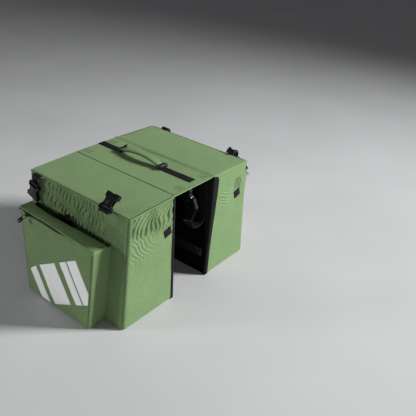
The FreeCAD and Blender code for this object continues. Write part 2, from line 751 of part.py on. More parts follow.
NODES = {
    "bridge_top": bridge_top(),
    "bridge_board": bridge_board(),
    "bridge_lining": bridge_lining(),
    "carry_webbing": carry_webbing(),
    "handle_keepers": handle_keepers(),
    "handle_grip": handle_grip(),
    "handle_webbing": handle_webbing(),
    "strap_anchors": strap_anchors(),
}
NODES.update(LEFT_TABS)
for name, shape in SIDE.items():
    NODES["left_" + name] = shape
    NODES["right_" + name] = turned(shape, *HALF_TURN)
for name, shape in RIGHT_TABS.items():
    NODES[name] = turned(shape, *HALF_TURN)
for name, shape in REAR_STRAP.items():
    NODES["rear_" + name] = shape
    NODES["front_" + name] = turned(shape, *HALF_TURN)

os.makedirs("parts", exist_ok=True)
for name, shape in NODES.items():
    shape.exportStep(f"parts/{name}.step")
print(len(NODES), "nodes")
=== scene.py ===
"""Looks of a double pannier bag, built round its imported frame.

Sizes in this script are millimetres and meshes are metres. A side bag is drawn on the left, where
w is the distance out from the bridge's middle line (so y = -w), and the right bag is the left one
turned half a turn about Z.
"""

import json
from math import atan, cos, degrees, exp, pi, radians, sin, sqrt

import bpy
from mathutils import Matrix, Vector, noise


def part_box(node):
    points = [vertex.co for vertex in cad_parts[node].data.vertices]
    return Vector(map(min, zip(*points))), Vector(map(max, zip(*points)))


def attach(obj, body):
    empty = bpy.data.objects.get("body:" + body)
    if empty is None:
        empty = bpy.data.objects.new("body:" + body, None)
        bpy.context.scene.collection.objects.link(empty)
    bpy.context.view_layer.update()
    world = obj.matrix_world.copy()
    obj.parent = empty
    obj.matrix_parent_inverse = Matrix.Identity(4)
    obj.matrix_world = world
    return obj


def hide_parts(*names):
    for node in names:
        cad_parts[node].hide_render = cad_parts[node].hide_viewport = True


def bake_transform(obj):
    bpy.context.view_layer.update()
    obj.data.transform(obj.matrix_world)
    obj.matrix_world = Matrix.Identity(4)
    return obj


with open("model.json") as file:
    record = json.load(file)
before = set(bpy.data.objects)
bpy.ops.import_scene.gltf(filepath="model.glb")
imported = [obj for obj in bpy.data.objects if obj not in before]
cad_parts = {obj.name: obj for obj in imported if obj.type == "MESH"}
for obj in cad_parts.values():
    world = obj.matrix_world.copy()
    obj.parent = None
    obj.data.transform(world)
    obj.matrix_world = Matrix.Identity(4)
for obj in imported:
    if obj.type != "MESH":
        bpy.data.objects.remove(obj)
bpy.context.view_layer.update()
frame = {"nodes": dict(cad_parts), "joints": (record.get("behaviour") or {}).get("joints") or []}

MM = 0.001
HALF_TURN = Matrix.Rotation(pi, 4, "Z")
CLOTH_UV = "cloth"


def span(node):
    """Lowest and highest corners of a CAD node, in millimetres."""
    low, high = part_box(node)
    return low / MM, high / MM


# Sizes taken from the frame
SEAM = Vector(next(j for j in frame["joints"] if j["name"] == "left_lid_open")["pos_m"]) / MM
SEAM_W, SEAM_Z = -SEAM.y, SEAM.z
LID_LOW, LID_HIGH = span("left_lid")
HALF_TOP, RIM_W = LID_HIGH.x, -LID_LOW.y
OUTER_W_FLOOR = -span("left_shell")[0].y
BACK_HIGH = span("left_back_panel")[1]
INNER_W_FLOOR = -BACK_HIGH.y
FLAP_LOW, FLAP_HIGH = span("left_pocket_flap")

# Sizes that boxes don't give, as in the frame
LID_THICK = 3.0
RIM_Z = 283.0
HALF_FLOOR = 161.0
LID_GAP = 3.3
WALL = 2.5
BACK_PANEL = 4.0
WEBBING, WEBBING_THICK = 25.0, 1.8
POCKET_TOP_X = (FLAP_LOW.x, FLAP_HIGH.x)
POCKET_FLOOR_X = (-115.0, 101.0)
POCKET_TOP_Z = (221.0, 211.0)
POCKET_FRONT_TOP, POCKET_FRONT_FLOOR = 263.5, 276.0
POCKET_BACK_W = 228.3
FLAP = 3.0


# Faces of a box whose corners go round its low end and then round its high one
BOX_FACES = ((3, 2, 1, 0), (4, 5, 6, 7), (0, 1, 5, 4), (1, 2, 6, 5), (2, 3, 7, 6), (3, 0, 4, 7))


# Small tools


def clamp(value, low=0.0, high=1.0):
    return max(low, min(high, value))


def ease(low, high, value):
    """0 below low, 1 above high, and smooth between."""
    t = clamp((value - low) / (high - low))
    return t * t * (3 - 2 * t)


def mix(a, b, t):
    return a + (b - a) * t


def steps(low, high, size):
    """Evenly spaced values from low to high, about size apart."""
    count = max(1, round(abs(high - low) / size))
    return [mix(low, high, i / count) for i in range(count + 1)]


def rough(x, y, z=0.0):
    """Smooth noise from -1 to 1."""
    return noise.noise(Vector((x, y, z)))


def left(x, w, z):
    """Point on the left side, w out from the middle."""
    return Vector((x, -w, z))


def linked(name, data):
    """A new object in the scene."""
    thing = bpy.data.objects.new(name, data)
    bpy.context.scene.collection.objects.link(thing)
    return thing


def level(share):
    """Direction across a strap that lies level along X, the same all along it."""
    return (0, 1, 0)


def mesh_piece(name, points, faces, cloth, materials):
    """Object from points in millimetres. cloth gives each point's place on the flat cloth."""
    mesh = bpy.data.meshes.new(name)
    mesh.from_pydata([tuple(p * MM) for p in points], [], faces)
    for material in materials:
        mesh.materials.append(material)
    layer = mesh.uv_layers.new(name=CLOTH_UV)
    for loop in mesh.loops:
        u, v = cloth[loop.vertex_index]
        layer.data[loop.index].uv = (u * MM, v * MM)
    mesh.polygons.foreach_set("use_smooth", [True] * len(mesh.polygons))
    return linked(name, mesh)


def lengths(points):
    """Distance of each point from the first, along them all."""
    run = [0.0]
    for a, b in zip(points, points[1:]):
        run.append(run[-1] + (b - a).length)
    return run


def grid(name, us, vs, place, materials, foot=False):
    """Sheet with a point for each u and v. foot closes the first row with one face."""
    points = [place(u, v) for v in vs for u in us]
    wide = len(us)
    across = lengths(points[-wide:])
    up = lengths(points[wide // 2 :: wide])
    cloth = [(x, y) for y in up for x in across]
    faces = [
        (j * wide + i, j * wide + i + 1, (j + 1) * wide + i + 1, (j + 1) * wide + i)
        for j in range(len(vs) - 1)
        for i in range(wide - 1)
    ]
    if foot:
        faces.append(tuple(range(wide - 1, -1, -1)))
    return mesh_piece(name, points, faces, cloth, materials)


def applied(piece):
    """The piece with its modifiers made real."""
    tree = bpy.context.evaluated_depsgraph_get()
    mesh = bpy.data.meshes.new_from_object(piece.evaluated_get(tree))
    piece.modifiers.clear()
    piece.data = mesh
    return piece


def thicken(piece, thick, rounding=0.8, inner_slot=0):
    """Gives a sheet its thickness, away from its face, with rounded edges."""
    solid = piece.modifiers.new("solid", "SOLIDIFY")
    solid.thickness = thick * MM
    solid.offset = -1
    solid.material_offset = inner_slot
    if rounding:
        bevel = piece.modifiers.new("edge", "BEVEL")
        bevel.width = rounding * MM
        bevel.segments = 3
        bevel.limit_method = "ANGLE"
        bevel.angle_limit = radians(50)
    return applied(piece)


def merged(name, pieces):
    """One object from several of the same materials."""
    points, faces, cloth, slots, materials = [], [], [], [], []
    for piece in pieces:
        mesh = piece.data
        start = len(points)
        points += [v.co / MM for v in mesh.vertices]
        uv = {}
        layer = mesh.uv_layers[CLOTH_UV]
        for loop in mesh.loops:
            uv[loop.vertex_index] = tuple(c / MM for c in layer.data[loop.index].uv)
        cloth += [uv.get(i, (0, 0)) for i in range(len(mesh.vertices))]
        for material in mesh.materials:
            if material not in materials:
                materials.append(material)
        for face in mesh.polygons:
            faces.append(tuple(start + i for i in face.vertices))
            slots.append(materials.index(mesh.materials[face.material_index]))
        bpy.data.objects.remove(piece)
    whole = mesh_piece(name, points, faces, cloth, materials)
    whole.data.polygons.foreach_set("material_index", slots)
    return whole


def smooth_line(points, size=3.0):
    """Points about size apart on a smooth curve through the given ones."""
    ends = [2 * points[0] - points[1], *points, 2 * points[-1] - points[-2]]
    line = []
    for a, b, c, d in zip(ends, ends[1:], ends[2:], ends[3:]):
        count = max(2, round((c - b).length / size))
        for i in range(count):
            t = i / count
            line.append(
                0.5
                * (2 * b + (c - a) * t + (2 * a - 5 * b + 4 * c - d) * t**2 + (3 * b - a - 3 * c + d) * t**3)
            )
    return [*line, points[-1].copy()]


def directions(line):
    """Unit direction of a line at each of its points."""
    last = len(line) - 1
    return [(line[min(i + 1, last)] - line[max(i - 1, 0)]).normalized() for i in range(last + 1)]


def strap(name, line, across, material, width=WEBBING, thick=WEBBING_THICK):
    """Webbing along a line. across gives its width's direction at a share of the length."""
    half, edge = width / 2, thick / 2
    section = [(half - edge + edge * cos(a), edge * sin(a)) for a in (-pi / 2, -pi / 4, 0, pi / 4, pi / 2)]
    section += [(half * k, edge * 0.86) for k in (0.7, 0.35, 0, -0.35, -0.7)]
    section += [(-x, -y) for x, y in section]
    points, cloth, faces = [], [], []
    run = 0.0
    ahead = directions(line)
    for i, centre in enumerate(line):
        run += (centre - line[i - 1]).length if i else 0.0
        side = Vector(across(i / (len(line) - 1))).normalized()
        up = side.cross(ahead[i]).normalized()
        side = ahead[i].cross(up)
        for x, y in section:
            points.append(centre + side * x + up * y)
            cloth.append((x + 100 * (y < 0), run))
    wide = len(section)
    for i in range(len(line) - 1):
        for k in range(wide):
            after = (k + 1) % wide
            faces.append((i * wide + k, i * wide + after, (i + 1) * wide + after, (i + 1) * wide + k))
    faces.append(tuple(range(wide - 1, -1, -1)))
    faces.append(tuple(range((len(line) - 1) * wide, len(line) * wide)))
    return mesh_piece(name, points, faces, cloth, [material])


def stitches(name, line, up, material, pitch=4.2, length=2.8, width=0.9, height=0.45):
    """A row of separate stitches along a line, on a surface that faces up."""
    total = sum((b - a).length for a, b in zip(line, line[1:]))
    count = max(1, int(total / pitch))
    marks, run, k = [], 0.0, 0
    for a, b in zip(line, line[1:]):
        size = (b - a).length
        while k < count and (k + 0.5) * total / count <= run + size:
            marks.append((a.lerp(b, ((k + 0.5) * total / count - run) / size), (b - a).normalized()))
            k += 1
        run += size
    points, faces, cloth = [], [], []
    for centre, ahead in marks:
        face_up = Vector(up(centre) if callable(up) else up).normalized()
        side = ahead.cross(face_up).normalized()
        start = len(points)
        for along, swell in ((-0.5, 0.25), (-0.3, 0.9), (0.3, 0.9), (0.5, 0.25)):
            for angle in range(0, 360, 60):
                lift = face_up * (sin(radians(angle)) * height * swell)
                sideways = side * (cos(radians(angle)) * width / 2 * swell)
                points.append(centre + ahead * (length * along) + sideways + lift)
                cloth.append((points[-1].x, points[-1].z))
        for ring in range(3):
            for k6 in range(6):
                a, b = start + ring * 6 + k6, start + ring * 6 + (k6 + 1) % 6
                faces.append((a, b, b + 6, a + 6))
        faces += [tuple(start + i for i in range(5, -1, -1)), tuple(start + 18 + i for i in range(6))]
    return mesh_piece(name, points, faces, cloth, [material])


# Thick, widely spaced stitches, as along the hems of the lids, drawn wide and near-black so that they also
# paint the shadow line under the lid's edge
THICK_STITCHES_AND_SHADOW_LINE = {"pitch": 5.8, "length": 5.0, "width": 2.8, "height": 0.9}


def keep(piece, body, nodes=()):
    """Puts a finished piece on one body of the frame, in place of CAD nodes."""
    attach(piece, body)
    if nodes:
        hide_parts(*nodes)
    return piece


def twin(piece):
    """The same piece on the right bag."""
    other = piece.copy()
    other.name = "right_" + piece.name.removeprefix("left_")
    other.data = piece.data.copy()
    other.data.transform(HALF_TURN)
    bpy.context.scene.collection.objects.link(other)
    return other


def on_both(piece, body, nodes=()):
    """Puts a piece on the left bag, and its twin on the right one."""
    other = twin(piece)
    keep(piece, "left_" + body, ["left_" + n for n in nodes])
    keep(other, "right_" + body, ["right_" + n for n in nodes])


# Materials


class Nodes:
    """A material under way: adds nodes and links them."""

    def __init__(self, name):
        self.material = bpy.data.materials.new(name)
        self.material.use_nodes = True
        self.tree = self.material.node_tree
        self.shader = self.tree.nodes["Principled BSDF"]

    def add(self, kind, inputs=(), **settings):
        node = self.tree.nodes.new(kind)
        for key, value in settings.items():
            setattr(node, key, value)
        for key, value in dict(inputs).items():
            if isinstance(value, bpy.types.NodeSocket):
                self.tree.links.new(value, node.inputs[key])
            else:
                node.inputs[key].default_value = value
        return node

    def link(self, output, socket):
        self.tree.links.new(output, self.shader.inputs[socket])

    def fix(self, **values):
        """Plain values of the shader's inputs, with _ for a space in their names."""
        for key, value in values.items():
            self.shader.inputs[key.replace("_", " ")].default_value = value

    def place(self, on_cloth):
        """Coordinates in metres: on the flat cloth, or in the frame."""
        if on_cloth:
            return self.add("ShaderNodeUVMap", uv_map=CLOTH_UV).outputs["UV"]
        return self.add("ShaderNodeTexCoord").outputs["Object"]

    def noise(self, where, size, detail=2.0, roughness=0.5):
        """Noise whose features are about size millimetres."""
        inputs = {"Vector": where, "Scale": 1 / (size * MM), "Detail": detail, "Roughness": roughness}
        return self.add("ShaderNodeTexNoise", inputs).outputs["Fac"]

    def bands(self, where, period, direction):
        """Sine bands across X or Y, one each period millimetres."""
        inputs = {"Vector": where, "Scale": 2 * pi / (20 * period * MM)}
        return self.add("ShaderNodeTexWave", inputs, bands_direction=direction).outputs["Fac"]

    def maths(self, operation, a, b):
        return self.add("ShaderNodeMath", {0: a, 1: b}, operation=operation).outputs[0]

    def between(self, value, low, high):
        """A value that goes from 0 to 1, brought to low to high."""
        inputs = {"Value": value, "To Min": low, "To Max": high}
        return self.add("ShaderNodeMapRange", inputs).outputs["Result"]

    def ramp(self, factor, stops):
        node = self.add("ShaderNodeValToRGB", {"Fac": factor})
        ramp = node.color_ramp
        while len(ramp.elements) < len(stops):
            ramp.elements.new(0.5)
        for element, (position, colour) in zip(ramp.elements, stops):
            element.position = position
            element.color = (*colour, 1)
        return node.outputs["Color"]

    def bump(self, height, distance, strength=1.0, under=None):
        inputs = {"Height": height, "Distance": distance * MM, "Strength": strength}
        if under is not None:
            inputs["Normal"] = under
        return self.add("ShaderNodeBump", inputs).outputs["Normal"]


def weave(nodes, where, yarn):
    """Height of a plain weave, from 0 to 1."""
    warp = nodes.bands(where, yarn, "X")
    weft = nodes.bands(where, yarn, "Y")
    checks = nodes.add("ShaderNodeTexChecker", {"Vector": where, "Scale": 1 / (yarn * MM)}).outputs["Fac"]
    over = nodes.maths("MULTIPLY", warp, checks)
    under = nodes.maths("MULTIPLY", weft, nodes.maths("SUBTRACT", 1.0, checks))
    return nodes.maths("ADD", over, under)


def cloth_material(
    name, dark, light, yarn=0.9, roughness=0.85, sheen=0.03, depth=0.12, specular=0.2, on_cloth=True
):
    """Woven cloth: yarns, a fine grain and slow changes of tone."""
    nodes = Nodes(name)
    where = nodes.place(on_cloth)
    yarns = weave(nodes, where, yarn)
    grain = nodes.noise(where, 3.0, 3.0, 0.8)
    slow = nodes.noise(where, 55.0, 3.0)
    tone = nodes.maths("ADD", nodes.maths("MULTIPLY", grain, 0.9), nodes.maths("MULTIPLY", slow, 0.1))
    tone = nodes.maths("ADD", nodes.maths("SUBTRACT", tone, 0.05), nodes.maths("MULTIPLY", yarns, 0.1))
    nodes.link(nodes.ramp(tone, [(0.3, dark), (0.7, light)]), "Base Color")
    nodes.link(nodes.between(slow, roughness - 0.07, roughness + 0.07), "Roughness")
    coarse = nodes.bump(grain, 0.3, 0.5)
    nodes.link(nodes.bump(yarns, depth, 0.8, coarse), "Normal")
    nodes.fix(Sheen_Weight=sheen, Sheen_Roughness=0.5, Specular_IOR_Level=specular)
    return nodes.material


def webbing_material(name, dark, light, on_cloth=True):
    """Ribbed webbing: ribs across it and a herringbone of fine yarns."""
    nodes = Nodes(name)
    where = nodes.place(on_cloth)
    ribs = nodes.bands(where, 1.9, "Y")
    yarns = nodes.bands(where, 1.3, "DIAGONAL")
    grain = nodes.noise(where, 1.0, 2.0)
    height = nodes.maths("ADD", nodes.maths("MULTIPLY", ribs, 0.6), nodes.maths("MULTIPLY", yarns, 0.4))
    tone = nodes.maths("ADD", nodes.maths("MULTIPLY", height, 0.6), nodes.maths("MULTIPLY", grain, 0.4))
    nodes.link(nodes.ramp(tone, [(0.25, dark), (0.8, light)]), "Base Color")
    nodes.link(nodes.bump(height, 0.25, 0.7), "Normal")
    nodes.fix(Roughness=0.62, Specular_IOR_Level=0.16)
    return nodes.material


def plastic_material(name, colour, roughness, grain_size=0.6, metallic=0.0):
    """Moulded or painted surface with a fine spark-eroded grain and slight handling marks."""
    nodes = Nodes(name)
    where = nodes.place(False)
    grain = nodes.noise(where, grain_size, 2.0)
    marks = nodes.noise(where, 9.0, 4.0, 0.65)
    darker = tuple(c * 0.75 for c in colour)
    nodes.link(nodes.ramp(marks, [(0.3, darker), (0.75, colour)]), "Base Color")
    nodes.link(nodes.between(marks, roughness - 0.08, roughness + 0.1), "Roughness")
    nodes.link(nodes.bump(grain, 0.02, 0.4), "Normal")
    nodes.fix(Metallic=metallic)
    return nodes.material


# Darkest and lightest tone of the lining, of the binding and of the webbing
LINING_TONES = (0.0010, 0.0010, 0.0012), (0.0030, 0.0030, 0.0034)
BINDING_TONES = (0.006, 0.006, 0.0065), (0.018, 0.018, 0.0195)
WEBBING_TONES = (0.003, 0.003, 0.0035), (0.013, 0.013, 0.0145)
INK_TONES = (0.90, 0.91, 0.91), (0.97, 0.98, 0.98)

GREEN = cloth_material("green_cloth", (0.088, 0.158, 0.058), (0.272, 0.398, 0.190), depth=0.2)
BLACK = cloth_material("black_lining", *LINING_TONES, yarn=0.7, sheen=0.0, specular=0.04)
TAPE = webbing_material("black_webbing", *WEBBING_TONES)
BINDING = cloth_material("binding_tape", *BINDING_TONES, yarn=1.2, sheen=0.0, specular=0.1)
COIL = plastic_material("zip_coil", (0.006, 0.006, 0.006), 0.5)
PLASTIC = plastic_material("buckle_plastic", (0.008, 0.008, 0.009), 0.22)
METAL = plastic_material("painted_slider", (0.016, 0.016, 0.017), 0.24, metallic=0.4)
BOARD = plastic_material("board", (0.006, 0.006, 0.006), 0.8)
THREAD = plastic_material("black_thread", (0.006, 0.008, 0.006), 0.8)
PALE_THREAD = plastic_material("grey_thread", (0.42, 0.43, 0.46), 0.5)
PRINT = cloth_material("print_ink", *INK_TONES, roughness=0.55, sheen=0.0, depth=0.06)
BLACK_CAD = cloth_material("black_lining_cad", *LINING_TONES, sheen=0.0, specular=0.04, on_cloth=False)
TAPE_CAD = webbing_material("black_webbing_cad", *WEBBING_TONES, on_cloth=False)


# The side bag's body


FRONT_TAB_X, REAR_TAB_X, SKEWED_TAB_X = -121.0, 106.0, -107.0


def half_length(z):
    return mix(HALF_FLOOR, HALF_TOP, z / RIM_Z)


def inner_w(z):
    return mix(INNER_W_FLOOR, SEAM_W, z / SEAM_Z)


def outer_w(z):
    return mix(OUTER_W_FLOOR, RIM_W, z / RIM_Z)


def lid_z(w):
    return mix(SEAM_Z, RIM_Z, (w - SEAM_W) / (RIM_W - SEAM_W))


def pucker(phase, sharp=0.25):
    """A ridge wave with narrow crests."""
    return (sin(phase) + sharp * sin(2 * phase + 1.3)) / (1 + sharp)


def outer_relief(x, z):
    """Puckers of the outer wall below the lid, drawn in by the seam."""
    reach = ease(178, 212, z) * (1 - 0.5 * ease(272, 281, z))
    corner = ease(72, 112, x)
    wander = 9 * rough(x / 40, z / 30, 3) + 3.2 * sin(z / 6.2 + x / 22)
    wide = pucker(2 * pi * (x + wander + 0.15 * (z - 240)) / 11.5, 0.4)
    fine = pucker(2 * pi * (x + 0.8 * (z - 240) + 0.3 * wander) / 8.4)
    patchy = 0.8 + 0.6 * rough(x / 26, z / 22, 9)
    soft = 1.4 * rough(x / 90, z / 80, 1) + 0.8 * rough(x / 28, z / 30, 2)
    under_tab = exp(-(((x - REAR_TAB_X) / 20) ** 4)) * ease(242, 258, z)
    ridges = reach * patchy * mix(3.4 * wide, 2.6 * fine, corner)
    return mix(ridges + soft * ease(0, 40, z), -3.0, under_tab)


def rear_relief(w, z):
    """Puckers of the rear end wall, larger and slanted, and faint creases below them."""
    low = mix(208, 234, (w - SEAM_W) / (RIM_W - SEAM_W))
    reach = ease(low - 14, low + 12, z) * (1 - 0.15 * ease(274, 282, z))
    wander = 9 * rough(w / 42, z / 34, 14) + 4.5 * sin((z - 232) / 9 + w / 60)
    wide = pucker(2 * pi * (w + 0.42 * (z - 240) + wander) / 13.5, 0.45)
    patchy = 0.85 + 0.5 * rough(w / 30, z / 28, 19)
    slanted = pucker(2 * pi * (w - 0.8 * z + wander) / 13)
    creases = ease(110, 200, z) * (1 - reach) * ease(110, 190, w) * slanted
    soft = 1.3 * rough(w / 70, z / 80, 11) + 0.6 * rough(w / 25, z / 30, 12)
    return reach * patchy * 4.6 * wide + 1.4 * creases + soft * ease(0, 40, z)


def front_relief(w, z):
    """The front end wall is smoother: upright ripples above its patch, level ones beside it that
    curve up at their ends, and a soft crease down from the lid's outer corner."""
    wander = 3 * rough(w / 24, z / 24, 23)
    upright = pucker(2 * pi * (w + 0.25 * (z - 230) + wander) / 8.5)
    above = ease(150, 163, w) * (1 - ease(180, 196, w)) * ease(214, 221, z) * (1 - ease(240, 258, z))
    level = pucker(2 * pi * (z - ((w - 138) / 11) ** 2 + wander) / 9.0)
    beside = ease(98, 118, w) * (1 - ease(150, 162, w)) * ease(176, 192, z) * (1 - ease(222, 236, z))
    off_crease = (w - 206) * 0.84 - (z - 282) * 0.54
    crease = -1.3 * exp(-((off_crease / 5) ** 2)) * ease(225, 245, z)
    soft = 1.5 * rough(w / 75, z / 85, 21) + 0.6 * rough(w / 26, z / 34, 22)
    return 1.7 * above * upright + 2.0 * beside * level + crease + soft * ease(0, 40, z)


FRONT, REAR = -1, 1
CORNER = 8.0
FOOT = 5.0


def plan_stations(end_step, outer_step):
    """Stations round the three cloth walls: (which stretch, which end, share along it)."""
    ends = steps(0, 1, end_step / (RIM_W - SEAM_W))
    turns = steps(0, 1, 0.2)[1:]
    along = steps(0, 1, outer_step / (2 * HALF_TOP))[1:]
    stations = [("end", FRONT, t) for t in ends]
    stations += [("turn", FRONT, t) for t in turns]
    stations += [("outer", 0, t) for t in along]
    stations += [("turn", REAR, 1 - t) for t in turns]
    return stations + [("end", REAR, 1 - t) for t in ends[1:]]


def wall_point(station, share):
    """Point of the bag's cloth wall, share of the way from the floor to the rim."""
    stretch, end, t = station
    rim_w = mix(SEAM_W, RIM_W, t) if stretch == "end" else RIM_W
    z = share * (lid_z(rim_w) - LID_GAP)
    tuck = FOOT - sqrt(max(0.0, FOOT**2 - max(0.0, FOOT - z) ** 2))
    length, out, inner = half_length(z) - tuck, outer_w(z) - tuck, inner_w(z)
    if stretch == "end":
        w = mix(inner, out - CORNER, t)
        relief = rear_relief(w, z) if end == REAR else front_relief(w, z)
        relief *= ease(0, 0.06, t) * (1 - 0.5 * ease(0.94, 1, t))
        return left(end * (length + relief), w, z)
    if stretch == "turn":
        a = t * pi / 2
        seam = -0.9 * exp(-(((t - 0.75) / 0.14) ** 2))
        reach = CORNER + seam
        return left(end * (length - CORNER + reach * cos(a)), out - CORNER + reach * sin(a), z)
    x = mix(-(length - CORNER), length - CORNER, t)
    relief = outer_relief(x, z) * ease(0, 0.03, t) * ease(0, 0.03, 1 - t)
    return left(x, out + relief, z)


def make_body():
    rows = sorted({0.0, 0.004, 0.010, 0.018, *steps(0.03, 0.6, 0.035), *steps(0.6, 1.0, 0.0075)})
    stations = plan_stations(1.6, 1.25)
    walls = grid("left_body", stations, rows, wall_point, [GREEN, BLACK], foot=True)
    on_both(thicken(walls, WALL, 0.7, inner_slot=1), "bag", ["shell"])


def make_back_panel():
    """Stiff wheel-side wall in black lining, slightly crowned, with a quilted seam across."""
    top = BACK_HIGH.z

    def place(x_share, share):
        z = share * top
        x = x_share * (half_length(z) - 0.4)
        edge = (1 - x_share**4) * sin(pi * clamp(share))
        quilt = exp(-(((z - top * 0.5) / 5) ** 2)) + exp(-(((abs(x) - 100) / 4) ** 2))
        proud = 1.4 * edge * (1 - 0.7 * clamp(quilt)) + 0.3 * rough(x / 40, z / 40, 31)
        return left(x, inner_w(z) - max(0.0, proud) - 0.05, z)

    panel = grid("left_back_panel", steps(1, -1, 0.035), steps(0, 1, 0.03), place, [BLACK])
    on_both(thicken(panel, BACK_PANEL, 0.8), "bag", ["back_panel"])


def make_binding():
    """Tape over the back panel's upright edges: wide and rounded at the front end's top, where it
    is folded over the wheel side too, and narrow at the rear."""
    strips = []
    for end, wide_top, wide_floor, wrap_top in ((FRONT, 17.0, 7.0, 22.0), (REAR, 4.0, 4.0, 6.0)):

        def place(part, z, end=end, wide_top=wide_top, wide_floor=wide_floor, wrap_top=wrap_top):
            width = mix(wide_floor, wide_top, ease(60, 270, z))
            wrap = mix(6.0, wrap_top, ease(40, 262, z))
            from_top = clamp((BACK_HIGH.z - 1 - z) / 16)
            rounded = sqrt(1 - (1 - from_top) ** 2) if end == FRONT else 1.0
            x, w = half_length(z) + 1.0, inner_w(z)
            if part <= 1:
                inward = width * (1 - part) * mix(0.25, 1, rounded)
                return left(end * x, w + inward + 0.25 * rough(z / 20, 41), z)
            puff = 0.5 * sin(pi * clamp(part - 1))
            return left(end * (x - wrap * (part - 1) * mix(0.3, 1, rounded)), w - 2.2 - puff, z)

        parts = [0, 0.25, 0.5, 0.75, 0.94, 1.04, 1.25, 1.5, 1.75, 2]
        heights = [*steps(1.5, BACK_HIGH.z - 19, 7), *steps(BACK_HIGH.z - 17, BACK_HIGH.z - 1, 1.6)]
        strip = grid("strip", parts if end == FRONT else parts[::-1], heights, place, [BINDING])
        strips.append(thicken(strip, 0.8, 0))
        line = [place(0.22, z) + Vector((end * 0.15, 0, 0)) for z in steps(4, BACK_HIGH.z - 3, 12)]
        strips.append(stitches("edge", line, (end, 0, 0), THREAD, width=0.5))
    on_both(merged("left_binding", strips), "bag", ["edge_binding"])


def make_corner_seams():
    """Black thread down the body's two outer corners."""
    rows = []
    for end in (FRONT, REAR):
        line = []
        for share in steps(0.02, 0.985, 0.03):
            point = wall_point(("turn", end, 0.75), share)
            line.append(point + Vector((end * 0.35, -0.7, 0)))
        rows.append(stitches("row", line, (end * 0.4, -1, 0), THREAD, pitch=3.4, length=2.6, width=0.8))
    on_both(merged("left_corner_seams", rows), "bag", ())


def make_patches():
    """Webbing square on each end wall, askew, puffed between its sewn edges."""
    pieces = []
    half, middle_z = 11.5, 203.0
    c, s = cos(radians(17.0)), sin(radians(17.0))
    for end, middle_w in ((REAR, 91.0), (FRONT, 173.0)):

        def place(a, b, end=end, middle_w=middle_w):
            w = middle_w - end * (a * c - b * s)
            z = middle_z + a * s + b * c
            puff = 0.7 + 0.9 * (1 - (a / half) ** 4) * (1 - (b / half) ** 4)
            relief = rear_relief(w, z) if end == REAR else front_relief(w, z)
            return left(end * (half_length(z) + max(relief, 0.0) + puff), w, z)

        sides = steps(-half, half, 2.3)
        square = grid("square", sides, sides, place, [TAPE])
        pieces.append(thicken(square, 1.4, 0.4))
        box_line = [(-9, -9), (9, -9), (9, 9), (-9, 9), (-9, -9)]
        line = [place(a, b) + Vector((end * 0.2, 0, 0)) for a, b in box_line]
        pieces.append(stitches("row", line, (end, 0, 0), THREAD, pitch=3, length=2, width=0.5))
    on_both(merged("left_patches", pieces), "bag", ["side_patches"])


# Lid and bridge


def over_edge(past, radius, drop):
    """Cloth that runs over an edge: how far out and how far down it is, past the edge's start."""
    if past <= 0:
        return 0.0, 0.0
    turn = min(past, 1.0) * pi / 2
    return radius * sin(turn), radius * (1 - cos(turn)) + max(0.0, past - 1) * drop


LID_LIP = 6.5  # the lid's cloth turns down over its front end
LID_CORNER = 7.0


def lid_point(x, w):
    """Top of the lid: crowned a little, dipping where it is sewn, and turned down at its front."""
    across = (w - SEAM_W) / (RIM_W - SEAM_W)
    past_corner = max(0.0, w - RIM_W + LID_CORNER)
    x *= 1 - (LID_CORNER - sqrt(max(0.0, LID_CORNER**2 - past_corner**2))) / HALF_TOP
    crown = 1.0 * sin(pi * across) * (1 - (clamp(x, -HALF_TOP, HALF_TOP) / HALF_TOP) ** 6)
    soft = 0.8 * rough(x / 75, w / 60, 51) * sin(pi * clamp(across)) ** 0.5
    hem = -0.5 * ease(HALF_TOP - 9, HALF_TOP - 5, x) - 0.5 * ease(RIM_W - 9, RIM_W - 5, w)
    z = lid_z(w) + crown + soft + hem * ease(0.0, 0.1, across)
    radius = 2.4
    start = HALF_TOP - radius + 1.0
    out, down = over_edge((-x - start) / radius, radius, LID_LIP)
    return left(max(x, -start) - out, w, z - down)


def make_lid():
    front = HALF_TOP - 1.4
    xs = [-front - 4.8, *steps(-front - 2.4, -front, 0.6), *steps(-front + 3, HALF_TOP, 5)]
    ws = [*steps(SEAM_W, RIM_W - LID_CORNER, 4.5), *steps(RIM_W - LID_CORNER + 1, RIM_W, 1.0)]
    sheet = grid("left_lid_cloth", xs, ws[::-1], lid_point, [GREEN])
    on_both(thicken(sheet, 2.6, 1.0), "lid", ["lid"])
    inset = 1.9
    outline = [(x, RIM_W - inset) for x in steps(-HALF_TOP + 6, HALF_TOP - inset, 8)]
    outline += [(HALF_TOP - inset, w) for w in steps(RIM_W - inset, SEAM_W + 3, 8)]
    line = [lid_point(x, w) + Vector((0, 0, 0.2)) for x, w in outline]
    # The hem's thick black stitches also paint the shadow line under the lid's edge.
    style = {**THICK_STITCHES_AND_SHADOW_LINE, "height": 0.55}
    on_both(stitches("left_lid_hem", line, (0, 0, 1), THREAD, **style), "lid", ())


FOLD_Y = SEAM_W - 6.0


def bridge_point(x, y):
    """Top of the bridge: nearly flat, with a raised fold along its far edge."""
    sag = -0.9 * (1 - (y / SEAM_W) ** 2) * (1 - (x / HALF_TOP) ** 4)
    fold = 1.9 * exp(-(((y - FOLD_Y) / 3.4) ** 2))
    soft = 0.5 * rough(x / 60, y / 40, 61) * (1 - (y / SEAM_W) ** 4)
    return Vector((x, y, SEAM_Z + fold + max(-0.6, sag * 0.4 + soft)))


